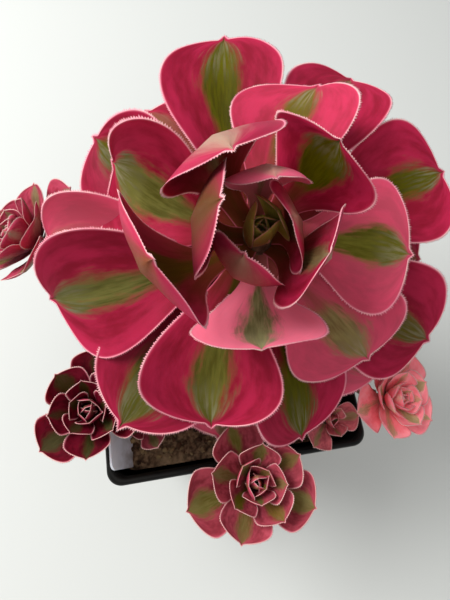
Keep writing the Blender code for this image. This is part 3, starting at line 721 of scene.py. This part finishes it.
    # Painted light and shade: the leaf's light value, at most 1.4, scales the brightness of its
    # colour.
    dim = add_node(tree, "Math", (light, 1.4), operation="MINIMUM")
    both = add_node(tree, "HueSaturation", {"Value": dim, "Color": both})

    # Rosy rim about half a millimetre wide.
    rim = add_node(tree, "MapRange", (edge, 0.5, 0.1, 0.0, 0.6), **EASE)
    both = add_node(tree, "Mix", {0: rim, 6: both, 7: linear("#DC6E86")}, 2, **COLOUR)
    tree.links.new(both, shader.inputs["Base Color"])

    # Skin relief: cells about a third of a millimetre, and faint ridges along veins.
    spot = add_node(tree, "TexCoord", out="Object")
    grain = add_node(tree, "TexNoise", {"Vector": spot, "Scale": 3000.0, "Detail": 1.0})
    ridge = add_node(tree, "Math", (veins, 1.2, grain), operation="MULTIPLY_ADD")
    bump = add_node(tree, "Bump", {"Height": ridge, "Strength": 0.2, "Distance": 0.0001})
    tree.links.new(bump, shader.inputs["Normal"])
    shader.inputs["Subsurface Weight"].default_value = 0.12
    shader.inputs["Subsurface Radius"].default_value = (0.004, 0.0008, 0.0008)
    shader.inputs["Subsurface Scale"].default_value = 0.5
    return finish


def fringe_finish(name, colour, pale):
    """Dry papery rim of the leaf, pink to cream, in patches of about 8 mm."""
    patches = ("TexNoise", "Fac", 120.0, 2.0, "SMOOTHSTEP", (0.35, 0.7), pale)
    finish, _, shader = layered_finish(name, 0.6, 0.3, colour, (patches,))
    shader.inputs["Subsurface Weight"].default_value = 0.1
    return finish


def build_leaves(name, blades, finish, shape):
    """One piece of closed blades with their markings."""
    body, _, around, rows = shape
    bm = bmesh.new()
    layers = mark_layers(bm)
    for blade, marks in blades:
        add_blade(bm, layers, blade, body, marks, around, rows)
    finish_mesh(bm)
    return new_piece(name, bm, finish)


def build_fringes(name, blades, finish, tooth, bead, spacing):
    """One piece of rims with teeth for the same blades."""
    bm = bmesh.new()
    for i, (blade, _) in enumerate(blades):
        add_fringe(bm, blade, tooth, bead, spacing, i)
    finish_mesh(bm)
    return new_piece(name, bm, finish)


def build_core(name, axes, base, radius, below, above, finish):
    """Rounded stem end that carries a rosette."""
    across, along, axis = axes
    bm = bmesh.new()
    middle = Vector(base) + axis * ((above - below) / 2.0)
    reach = (above + below) * CORE_FULLNESS
    turn = Matrix((across, along, axis)).transposed().to_4x4()
    size = Matrix.Diagonal((radius, radius, reach, 1.0))
    place = Matrix.Translation(middle) @ turn @ size
    bmesh.ops.create_uvsphere(bm, u_segments=32, v_segments=20, radius=1.0, matrix=place)
    finish_mesh(bm)
    return new_piece(name, bm, finish)


def main_blades():
    """Blades of the large rosette with their markings."""
    axes = axis_frame(ROSETTE_TILT, ROSETTE_FACING)
    chance = random.Random(MAIN_SEED)
    wave = MAIN_BLADE[1]
    found = []
    for placing, marking in LEAVES:
        seed = chance.random()
        blade = Blade(axes, ROSETTE_BASE, placing, MAIN_ROOT_RADIUS, MAIN_SWELL, wave, seed)
        found.append((blade, (seed, *marking)))
    return found


def heart_blades():
    """Blades of the young green leaves in the middle of the large rosette."""
    axes = axis_frame(ROSETTE_TILT, ROSETTE_FACING)
    chance = random.Random(HEART_SEED)
    wave = HEART_BLADE[1]
    root_radius = MAIN_ROOT_RADIUS / 2.0
    rows = heart_placing(
        HEART_LEAVES, *HEART_LENGTHS, HEART_FIRST_TURN, HEART_LOW, HEART_HIGH, HEART_SHAPE
    )
    found = []
    for placing in rows:
        seed = chance.random()
        blade = Blade(axes, ROSETTE_BASE, placing, root_radius, MAIN_SWELL, wave, seed)
        found.append((blade, (seed, *HEART_MARKS)))
    return found


def side_blades(row):
    """Blades of one side rosette."""
    name, base, tilt, facing, count, longest, first_turn, _ = row
    axes = axis_frame(tilt, facing)
    radius = longest * SIDE_CORE_RADIUS
    low = (SIDE_RISE[0], SIDE_BEND[0], 0.0)
    high = (SIDE_RISE[1], SIDE_BEND[1], radius * SIDE_TOP_ROOT)
    shortest = longest * SIDE_SHORTEST
    rows = heart_placing(count, longest, shortest, first_turn, low, high, SIDE_SHAPE)
    chance = random.Random(name)
    root_radius = radius * SIDE_ROOT_RADIUS
    found = []
    for placing in rows:
        seed = chance.random()
        blade = Blade(axes, base, placing, root_radius, SIDE_SWELL, SIDE_BLADE[1], seed)
        look = (chance.uniform(0.7, 1.0), chance.uniform(0.18, 0.42), chance.random())
        found.append((blade, (seed, *look, SIDE_PAINTED_LIGHT[name], 0.0)))
    return found


def stem_points():
    """Middle line of the main stem: upright in the mix, then bowed to the rosette."""
    axis = axis_frame(ROSETTE_TILT, ROSETTE_FACING)[2]
    top = Vector(ROSETTE_BASE) - axis * (MAIN_CORE_BELOW + GAP)
    clear = (STEM_FOOT[0], STEM_FOOT[1], STEM_CLEAR_HEIGHT)
    upright = Vector((0.0, 0.0, 1.0))
    bow = curve_points(clear, upright, STEM_START_REACH, top, axis, STEM_END_REACH, STEM_POINTS)
    return [Vector(STEM_FOOT)] + bow


def curve_points(start, start_way, start_reach, end, end_way, end_reach, count):
    """Points on a smooth curve that ends in a short straight run along end_way."""
    start = Vector(start)
    straight = Vector(end) - end_way * STRAIGHT_END
    handle_a = start + start_way * start_reach
    handle_b = straight - end_way * end_reach
    points = geometry.interpolate_bezier(start, handle_a, handle_b, straight, count)
    return [Vector(p) for p in points] + [Vector(end)]


def point_at_height(points, height):
    """Where the line through the points passes a height."""
    for low, high in zip(points, points[1:]):
        if low.z <= height <= high.z:
            return low.lerp(high, (height - low.z) / (high.z - low.z))
    return points[-1]


def branch_line(row):
    """Middle line and radius of a side branch."""
    _, base, tilt, facing, _, longest, _, fork = row
    start = point_at_height(stem_points(), fork)
    axis = axis_frame(tilt, facing)[2]
    level = Vector((base[0] - start.x, base[1] - start.y, 0.0)).normalized()
    way = (level + axis).normalized()
    end = Vector(base) - way * (longest * SIDE_CORE_RADIUS * SIDE_CORE_BELOW + GAP)
    flat = Vector((end.x - start.x, end.y - start.y, 0.0))
    reach = flat.length * BRANCH_START_SHARE
    away = flat.normalized()
    points = curve_points(start, away, reach, end, way, BRANCH_END_REACH, BRANCH_POINTS)
    return points, min(BRANCH_RADIUS, longest * SIDE_CORE_RADIUS * BRANCH_SHARE)


def add_limb(bm, points, radius, scar_spacing, seed):
    """Round limb with leaf scars, from a grid rolled round the line."""
    line = np.array([tuple(p) for p in points])
    run = np.concatenate([[0.0], np.cumsum(np.linalg.norm(np.diff(line, axis=0), axis=1))])
    rings = max(int(run[-1] / LIMB_STEP), 8)
    at = np.linspace(0.0, run[-1], rings + 1)
    spots = np.stack([np.interp(at, run, line[:, k]) for k in range(3)], axis=1)
    for _ in range(LIMB_SMOOTHING):
        spots[1:-1] = (spots[:-2] + 2.0 * spots[1:-1] + spots[2:]) / 4.0
    ahead = unit(np.gradient(spots, axis=0))
    level = unit(np.cross(ahead, LIMB_ACROSS))
    other = np.cross(ahead, level)
    grain_round, grain_along = LIMB_GRAIN
    made = bmesh.ops.create_grid(bm, x_segments=LIMB_SEGMENTS, y_segments=rings, size=1.0)
    seam = []
    for vert in made["verts"]:
        a = (vert.co.x + 1.0) * math.pi
        i = round((vert.co.y + 1.0) / 2.0 * rings)
        if abs(abs(vert.co.x) - 1.0) < 1e-6:
            seam.append(vert)
            a = 0.0
        ring = math.sin(at[i] / scar_spacing * math.pi) ** SCAR_SHARPNESS
        round_it = Vector((math.cos(a), math.sin(a), 0.0)) * grain_round
        wobble = noise.noise(round_it + Vector((0.0, 0.0, at[i] * grain_along + seed)))
        shape = radius * (LIMB_FULLNESS + LIMB_WOBBLE * wobble + SCAR_HEIGHT * ring)
        way = level[i] * math.cos(a) + other[i] * math.sin(a)
        vert.co = spots[i] + way * shape
    bmesh.ops.remove_doubles(bm, verts=seam, dist=SAME_PLACE)
    ends = [e for e in bm.edges if e.is_boundary]
    bmesh.ops.holes_fill(bm, edges=ends, sides=0)


def bark_finish():
    """Half-woody stem skin: brown cork in 2 mm flakes, with paler scars 4 mm apart."""
    flakes = ("TexNoise", "Fac", 450.0, 5.0, "SMOOTHSTEP", (0.35, 0.68), "#77604A")
    scars = (
        "TexVoronoi", "Distance", 260.0, 0.0, "SMOOTHSTEP", (0.2, 0.05, 0.0, 0.6), "#9C866B",
    )
    relief = (450.0, 5.0, 0.6, 0.0004)
    return layered_finish("corky_stem_skin", 0.8, 0.3, "#3E2C20", (flakes, scars), relief)[0]


def pot_profile():
    """Half widths and heights of the pot, from the underside over the rim inside."""
    neck = POT_NECK_WIDTH / 2.0
    foot = POT_FOOT_WIDTH / 2.0
    rim = POT_RIM_WIDTH / 2.0
    collar = POT_HEIGHT - POT_COLLAR_HEIGHT
    return (
        (foot - 2.2, 0.0),
        (foot - 0.8, 0.3),
        (foot, 1.4),
        (foot + 0.6, 5.0),
        (neck, collar - 1.4),
        (neck + 0.4, collar - 1.0),
        (rim - 1.1, collar - 0.3),
        (rim - 0.7, collar + 0.3),
        (rim, POT_HEIGHT - 2.0),
        (rim - 0.15, POT_HEIGHT - 1.0),
        (rim - 0.7, POT_HEIGHT - 0.3),
        (rim - 1.4, POT_HEIGHT),
        (rim - 2.0, POT_HEIGHT - 0.2),
        (rim - POT_LIP, POT_HEIGHT - 1.2),
        (rim - POT_LIP - 0.1, collar - 0.5),
        (neck - POT_WALL, collar - 2.0),
        (foot - POT_WALL, POT_FLOOR + 1.0),
        (foot - POT_WALL - 1.0, POT_FLOOR),
    )


def rounded_square(bm, half, height):
    """Flat face with rounded corners, centred on the axis."""
    made = bmesh.ops.create_grid(bm, x_segments=1, y_segments=1, size=half)
    for vert in made["verts"]:
        vert.co.z = height
    bmesh.ops.bevel(
        bm,
        geom=made["verts"],
        offset=half * 2.0 * POT_CORNER,
        segments=POT_CORNER_STEPS,
        profile=0.5,
        affect="VERTICES",
        material=-1,
    )


def extend_wall(bm, loop, share, height):
    """Extrude a loop of edges to a height, scaled about the axis, and give its new loop."""
    made = bmesh.ops.extrude_edge_only(bm, edges=loop)["geom"]
    for vert in [g for g in made if isinstance(g, bmesh.types.BMVert)]:
        vert.co.x *= share
        vert.co.y *= share
        vert.co.z = height
    return [g for g in made if isinstance(g, bmesh.types.BMEdge) and g.is_boundary]


def lofted_box(profile):
    """Closed solid through rounded squares: the first and last ones are filled."""
    bm = bmesh.new()
    rounded_square(bm, *profile[0])
    loop = bm.edges[:]
    for (before, _), (half, height) in zip(profile, profile[1:]):
        loop = extend_wall(bm, loop, half / before, height)
    bmesh.ops.edgeloop_fill(bm, edges=loop)
    finish_mesh(bm)
    return bm


def cut_holes(piece, bm):
    """Cut the solids in a bmesh, in millimetres, out of a piece."""
    drills = new_object("drills", bm)
    cut = piece.modifiers.new("Holes", "BOOLEAN")
    cut.operation = "DIFFERENCE"
    cut.object = drills
    cut.solver = "EXACT"
    bpy.context.view_layer.update()
    view = bpy.context.evaluated_depsgraph_get()
    whole = bpy.data.meshes.new_from_object(piece.evaluated_get(view))
    piece.modifiers.clear()
    piece.data = whole
    bpy.data.objects.remove(drills)


def plastic_finish():
    """Thin blow-formed black polypropylene: satin, with faint scuffs and dust."""
    dust = ("TexNoise", "Fac", 60.0, 6.0, "SMOOTHSTEP", (0.5, 0.8, 0.0, 0.25), "#2E2820")
    relief = (1400.0, 2.0, 0.15, 0.0002)
    finish, tree, shader = layered_finish(
        "black_polypropylene", 0.42, 0.15, "#0A0908", (dust,), relief
    )
    spot = add_node(tree, "TexCoord", out="Object")
    scuffs = add_node(tree, "TexNoise", {"Vector": spot, "Scale": 60.0, "Detail": 6.0})
    rough = add_node(tree, "Math", (scuffs, 0.3, 0.26), operation="MULTIPLY_ADD")
    tree.links.new(rough, shader.inputs["Roughness"])
    return finish


def mix_finish():
    """Damp bark and peat potting mix: dark brown crumbs with paler fibrous patches."""
    crumbs = ("TexNoise", "Fac", 700.0, 6.0, "SMOOTHSTEP", (0.35, 0.7), "#7E644C")
    patches = ("TexNoise", "Fac", 90.0, 3.0, "SMOOTHSTEP", (0.5, 0.72, 0.0, 0.5), "#8A7256")
    relief = (700.0, 6.0, 0.9, 0.0006)
    return layered_finish("bark_potting_mix", 0.95, 0.2, "#3E2D20", (crumbs, patches), relief)[0]


def grit_finish(name, dark, pale):
    """Grit and bark chips: each stone a little different in colour, finely speckled."""
    stones = ("TexVoronoi", "Color", 320.0, 0.0, "LINEAR", (0.0, 1.0, 0.0, 0.7), pale)
    specks = ("TexNoise", "Fac", 1500.0, 3.0, "LINEAR", (0.0, 1.0, 0.0, 0.5), dark)
    return layered_finish(name, 0.9, 0.25, dark, (stones, specks), (1500.0, 3.0, 0.6, 0.0003))[0]


# Height at which the inside of the pot starts to widen into its collar.
SOIL_TURN_IN = POT_HEIGHT - POT_COLLAR_HEIGHT - 2.0


def soil_half(height):
    """Half width inside the pot at a height on its plain wall."""
    low = POT_FOOT_WIDTH / 2.0 - POT_WALL
    high = POT_NECK_WIDTH / 2.0 - POT_WALL
    return low + (high - low) * (height - POT_FLOOR) / (SOIL_TURN_IN - POT_FLOOR)


def soil_height(x, y):
    """Height of the rough surface of the mix."""
    lumps = noise.noise(Vector((x, y, 0.0)) / SOIL_LUMPS[1]) * SOIL_LUMPS[0]
    crumbs = noise.noise(Vector((x, y, 3.0)) / SOIL_CRUMBS[1]) * SOIL_CRUMBS[0]
    return POT_HEIGHT - SOIL_DROP + lumps + crumbs


def soil_mesh(half):
    """Mix that fills the pot, its rough top drawn in to the rounded corners."""
    inner = half - half * 2.0 * POT_CORNER * SOIL_CORNER
    bm = bmesh.new()
    bmesh.ops.create_grid(bm, x_segments=SOIL_CELLS, y_segments=SOIL_CELLS, size=half)
    for vert in bm.verts:
        x, y = vert.co.x, vert.co.y
        past = Vector((max(abs(x) - inner, 0.0), max(abs(y) - inner, 0.0)))
        if past.x > 0.0 and past.y > 0.0:
            past *= max(past) / past.length
            x = math.copysign(inner + past.x, x)
            y = math.copysign(inner + past.y, y)
        vert.co = (x, y, soil_height(x, y))
    loop = [e for e in bm.edges if e.is_boundary]
    previous = half
    for height in (SOIL_TURN_IN, POT_FLOOR + GAP):
        width = soil_half(height) - GAP - SOIL_SPARE
        loop = extend_wall(bm, loop, width / previous, height)
        previous = width
    bmesh.ops.edgeloop_fill(bm, edges=loop)
    finish_mesh(bm)
    return bm


def stones_mesh(chance, count, mean_size, reach):
    """Stones scattered on the mix, clear of the wall and of the stem."""
    stem_reach = STEM_RADIUS + STONE_MARGIN
    rough = STONE_ROUGHNESS
    bm = bmesh.new()
    for _ in range(count):
        x = chance.uniform(-reach, reach)
        y = chance.uniform(-reach, reach)
        if math.hypot(x - STEM_FOOT[0], y - STEM_FOOT[1]) < stem_reach:
            continue
        size = mean_size * chance.uniform(*STONE_SIZES)
        shape = [size * chance.uniform(*STONE_SHAPES) for _ in range(3)]
        turn = Matrix.Rotation(chance.uniform(0.0, STONE_TURN), 4, "Z")
        tilt = chance.uniform(-STONE_TILT, STONE_TILT)
        turn = turn @ Matrix.Rotation(tilt, 4, "X")
        place = Matrix.Translation((x, y, soil_height(x, y) + size * STONE_RISE))
        place = place @ turn @ Matrix.Diagonal((*shape, 1.0))
        made = bmesh.ops.create_icosphere(bm, subdivisions=1, radius=1.0, matrix=place)
        for vert in made["verts"]:
            vert.co += Vector([chance.uniform(-rough, rough) * size for _ in range(3)])
    bmesh.ops.recalc_face_normals(bm, faces=bm.faces[:])
    return bm


def label_finish():
    """White polypropylene label, smooth, with a trace of soil near the mix."""
    finish, tree, shader = new_finish("white_label_plastic", 0.34, 0.5)
    spot = add_node(tree, "TexCoord", out="Object")
    high = add_node(tree, "SeparateXYZ", (spot,), "Z")
    soiling = add_node(tree, "TexNoise", {"Vector": spot, "Scale": 200.0, "Detail": 5.0})
    low = add_node(tree, "MapRange", (high, 0.095, 0.08, 0.0, 0.7), **EASE)
    share = add_node(tree, "MapRange", (soiling, 0.4, 0.65, 0.0, low), **EASE)
    white, brown = colours("#E4E6EE #7A6650")
    colour = add_node(tree, "Mix", {0: share, 6: white, 7: brown}, 2, **COLOUR)
    tree.links.new(colour, shader.inputs["Base Color"])
    shader.inputs["Subsurface Weight"].default_value = 0.05
    return finish


def colour_setting(name, description, code):
    """Setting for a colour, with its default from an sRGB hex value."""
    return bpy.props.FloatVectorProperty(
        name=name,
        description=description,
        subtype="COLOR",
        size=4,
        min=0.0,
        max=1.0,
        default=linear(code),
    )


def size_setting(name, description, size):
    """Setting for a length, with its default from millimetres."""
    return bpy.props.FloatProperty(
        name=name, description=description, subtype="DISTANCE", min=0.0, default=size * MM
    )


class AeoniumSettings(bpy.types.PropertyGroup):
    """Colours and rim of the large leaves"""

    rose: colour_setting("Rose", "Light colour of the leaf skin", "#AC2145")
    deep: colour_setting("Deep", "Deep colour of the leaf skin", "#780E22")
    olive: colour_setting("Olive", "Light green of the flame", "#545000")
    moss: colour_setting("Moss", "Dark green of the flame", "#343000")
    tooth: size_setting("Tooth", "Length of the teeth on the rim of a large leaf", 0.6)
    bead: size_setting("Rim", "Half thickness of the pale rim of a large leaf", 0.085)


class PotSettings(bpy.types.PropertyGroup):
    """Stones on the potting mix"""

    stones: bpy.props.IntProperty(
        name="Stones", description="Number of grit stones on the mix", default=900, min=0
    )
    stone_size: size_setting("Stone size", "Mean size of a stone", 1.7)


class AEONIUM_OT_main_rosette(bpy.types.Operator):
    """Build the large rosette: its big leaves, its heart, their rims and the stem end"""

    bl_idname = "aeonium.main_rosette"
    bl_label = "Main rosette"

    def execute(self, context):
        look = context.scene.aeonium
        chosen = [tuple(tint) for tint in (look.rose, look.deep, look.olive, look.moss)]
        skin = leaf_finish("crimson_leaf_skin", chosen + colours(MAIN_TINTS))
        # The inner leaves' longer blend into haze is painted shade deep in the rosette, with the
        # leaves' own olive-brown base.
        shaded = leaf_finish("inner_leaf_skin", chosen + colours(INNER_TINTS), (0.75, 0.1))
        young = leaf_finish("young_leaf_skin", colours(YOUNG_TINTS))
        rim = fringe_finish("leaf_rim", "#EE8C9E", "#F6BCBC")
        green_rim = fringe_finish("young_leaf_rim", "#7C6C34", "#A08C58")
        blades = main_blades()
        heart = heart_blades()
        for piece in (
            build_leaves("main_leaves_outer", blades[:OUTER_LEAVES], skin, MAIN_BLADE),
            build_leaves("main_leaves_inner", blades[OUTER_LEAVES:], shaded, MAIN_BLADE),
            build_leaves("heart_leaves", heart, young, HEART_BLADE),
        ):
            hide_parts("main_rosette")
        tooth, bead = look.tooth / MM, look.bead / MM
        build_fringes("main_leaf_rims", blades, rim, tooth, bead, MAIN_RIM_SPACING)
        build_fringes("heart_leaf_rims", heart, green_rim, *HEART_RIM)
        axes = axis_frame(ROSETTE_TILT, ROSETTE_FACING)
        size = (MAIN_CORE_RADIUS, MAIN_CORE_BELOW, MAIN_CORE_ABOVE)
        build_core("main_stem_end", axes, ROSETTE_BASE, *size, bark_finish())
        return {"FINISHED"}


class AEONIUM_OT_side_rosettes(bpy.types.Operator):
    """Build the side rosettes with their rims and stem ends"""

    bl_idname = "aeonium.side_rosettes"
    bl_label = "Side rosettes"

    def execute(self, context):
        rim = fringe_finish("side_leaf_rim", "#D99A98", "#E2B4AC")
        bark = bark_finish()
        for row in SIDE_ROSETTES:
            name, base, tilt, facing, _, longest, _, _ = row
            skin = leaf_finish(name + "_skin", colours(SIDE_TINTS[name]))
            blades = side_blades(row)
            leaves = build_leaves(name + "_leaves", blades, skin, SIDE_BLADE)
            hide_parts(name)
            build_fringes(name + "_rims", blades, rim, *SIDE_RIM)
            radius = longest * SIDE_CORE_RADIUS
            size = (radius, radius * SIDE_CORE_BELOW, radius * SIDE_CORE_ABOVE)
            build_core(name + "_stem_end", axis_frame(tilt, facing), base, *size, bark)
        return {"FINISHED"}


class AEONIUM_OT_stem(bpy.types.Operator):
    """Build the main stem and its side branches with their leaf scars"""

    bl_idname = "aeonium.stem"
    bl_label = "Stem"

    def execute(self, context):
        bm = bmesh.new()
        add_limb(bm, stem_points(), STEM_RADIUS, STEM_SCARS, 1.0)
        for i, row in enumerate(SIDE_ROSETTES):
            points, radius = branch_line(row)
            add_limb(bm, points, radius, BRANCH_SCARS, 5.0 * i)
        finish_mesh(bm)
        stem = new_piece("woody_stem", bm, bark_finish())
        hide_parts("stem")
        return {"FINISHED"}


class AEONIUM_OT_pot(bpy.types.Operator):
    """Build the square pot with its collar, rolled lip and drainage holes"""

    bl_idname = "aeonium.pot"
    bl_label = "Pot"

    def execute(self, context):
        pot = new_piece("square_pot", lofted_box(pot_profile()), plastic_finish())
        bm = bmesh.new()
        for x, y in itertools.product((-1, 0, 1), repeat=2):
            if x or y:
                place = Matrix.Translation(Vector((x, y, 0.0)) * DRAIN_HOLE_SPREAD)
                bmesh.ops.create_cone(
                    bm,
                    cap_ends=True,
                    segments=32,
                    radius1=DRAIN_HOLE_RADIUS,
                    radius2=DRAIN_HOLE_RADIUS,
                    depth=POT_WALL * 10.0,
                    matrix=place,
                )
        cut_holes(pot, bm)
        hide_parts("pot")
        return {"FINISHED"}


class AEONIUM_OT_potting_mix(bpy.types.Operator):
    """Build the potting mix with grit and bark chips on its surface"""

    bl_idname = "aeonium.potting_mix"
    bl_label = "Potting mix"

    def execute(self, context):
        sizes = context.scene.aeonium_pot
        half = soil_half(SOIL_TURN_IN) - GAP
        mix = new_piece("potting_mix", soil_mesh(half), mix_finish())
        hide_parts("potting_soil")
        chance = random.Random(STONE_SEED)
        count = sizes.stones // len(STONE_KINDS)
        for name, dark, pale in STONE_KINDS:
            bm = stones_mesh(chance, count, sizes.stone_size / MM, half - STONE_MARGIN)
            new_piece(name, bm, grit_finish(name, dark, pale))
        return {"FINISHED"}


class AEONIUM_OT_label(bpy.types.Operator):
    """Build the blank plant label"""

    bl_idname = "aeonium.label"
    bl_label = "Plant label"

    def execute(self, context):
        # A strip that hangs from the middle of its top edge.
        bm = bmesh.new()
        bmesh.ops.create_cube(bm, size=1.0)
        size = Matrix.Diagonal((LABEL_THICKNESS, LABEL_WIDTH, LABEL_LENGTH, 1.0))
        drop = Matrix.Translation((0.0, 0.0, -LABEL_LENGTH / 2.0))
        bmesh.ops.transform(bm, matrix=drop @ size, verts=bm.verts[:])

        # Its lower end narrows to a point.
        shoulder = LABEL_POINT - LABEL_LENGTH
        geom = bm.verts[:] + bm.edges[:] + bm.faces[:]
        bmesh.ops.bisect_plane(bm, geom=geom, plane_co=(0, 0, shoulder), plane_no=(0, 0, 1))
        for vert in bm.verts:
            if vert.co.z < shoulder - 1.0:
                vert.co.y *= LABEL_POINT_SHARE

        # Its top corners are rounded, and then every sharp edge is softened.
        settings = {"profile": 0.5, "affect": "EDGES", "material": -1}
        top = []
        for edge in bm.edges:
            a, b = (v.co for v in edge.verts)
            if min(a.z, b.z) > -0.01 and abs(a.x - b.x) > 0.1:
                top.append(edge)
        bmesh.ops.bevel(bm, geom=top, offset=LABEL_CORNER, segments=6, **settings)
        sharp = [e for e in bm.edges if e.calc_face_angle(0.0) > 1.0]
        bmesh.ops.bevel(bm, geom=sharp, offset=LABEL_EDGE, segments=2, **settings)

        # It leans out over the rim.
        lean = Matrix.Rotation(math.radians(-LABEL_LEAN), 4, "Y")
        place = Matrix.Translation(Vector(LABEL_TOP)) @ lean
        bmesh.ops.transform(bm, matrix=place, verts=bm.verts[:])
        bmesh.ops.recalc_face_normals(bm, faces=bm.faces[:])
        label = new_piece("blank_label", bm, label_finish())
        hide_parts("plant_label")
        return {"FINISHED"}


class AEONIUM_OT_stage(bpy.types.Operator):
    """Set up the pale floor, soft studio light and the camera"""

    bl_idname = "aeonium.stage"
    bl_label = "Stage"

    def execute(self, context):
        scene = context.scene
        scene.view_settings.view_transform = "Standard"
        bm = bmesh.new()
        bmesh.ops.create_circle(bm, cap_ends=True, segments=64, radius=FLOOR_RADIUS)
        floor = new_object("floor", bm)
        finish, _, shader = new_finish("pale_floor", 0.9, 0.2)
        shader.inputs["Base Color"].default_value = linear(FLOOR_COLOUR)
        floor.data.materials.append(finish)

        world = bpy.data.worlds.new("studio")
        world.use_nodes = True
        background = world.node_tree.nodes["Background"]
        background.inputs["Color"].default_value = linear(STUDIO_COLOUR)
        background.inputs["Strength"].default_value = STUDIO_STRENGTH
        scene.world = world

        for name, place, size, power, tint in LAMPS:
            data = bpy.data.lights.new(name, "AREA")
            data.size = size
            data.energy = power
            data.color = linear(tint)[:3]
            lamp = bpy.data.objects.new(name, data)
            lamp.location = place
            way = Vector(LAMP_AIM) - Vector(place)
            lamp.rotation_euler = way.to_track_quat("-Z", "Y").to_euler()
            scene.collection.objects.link(lamp)

        data = bpy.data.cameras.new("photo_camera")
        data.sensor_fit = "VERTICAL"
        data.sensor_height = CAMERA_FILM_HEIGHT
        data.lens = CAMERA_LENS
        data.clip_start = 0.005
        camera = bpy.data.objects.new("photo_camera", data)
        right = Vector(CAMERA_RIGHT).normalized()
        ahead = Vector(CAMERA_AHEAD)
        ahead = (ahead - right * right.dot(ahead)).normalized()
        up = right.cross(ahead)
        camera.matrix_world = Matrix.Translation(Vector(CAMERA_PLACE) * MM) @ (
            Matrix((right, up, -ahead)).transposed().to_4x4()
        )
        scene.collection.objects.link(camera)
        scene.camera = camera
        return {"FINISHED"}


STEPS = (
    AEONIUM_OT_pot,
    AEONIUM_OT_potting_mix,
    AEONIUM_OT_label,
    AEONIUM_OT_stem,
    AEONIUM_OT_main_rosette,
    AEONIUM_OT_side_rosettes,
    AEONIUM_OT_stage,
)


class AEONIUM_PT_panel(bpy.types.Panel):
    """Settings and steps of the potted aeonium"""

    bl_idname = "AEONIUM_PT_panel"
    bl_label = "Potted aeonium"
    bl_space_type = "VIEW_3D"
    bl_region_type = "UI"
    bl_category = "Aeonium"

    def draw(self, context):
        for group in (context.scene.aeonium, context.scene.aeonium_pot):
            for key in group.__annotations__:
                self.layout.prop(group, key)
        for step in STEPS:
            self.layout.operator(step.bl_idname)


CLASSES = (AeoniumSettings, PotSettings, *STEPS, AEONIUM_PT_panel)


def register():
    """Make the settings, the steps and the panel known to Blender."""
    for item in CLASSES:
        bpy.utils.register_class(item)
    bpy.types.Scene.aeonium = bpy.props.PointerProperty(type=AeoniumSettings)
    bpy.types.Scene.aeonium_pot = bpy.props.PointerProperty(type=PotSettings)


def unregister():
    """Take them out again."""
    del bpy.types.Scene.aeonium_pot
    del bpy.types.Scene.aeonium
    for item in reversed(CLASSES):
        bpy.utils.unregister_class(item)


def main():
    """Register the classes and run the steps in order."""
    register()
    for step in STEPS:
        group, name = step.bl_idname.split(".")
        getattr(getattr(bpy.ops, group), name)()


if __name__ == "__main__":
    main()
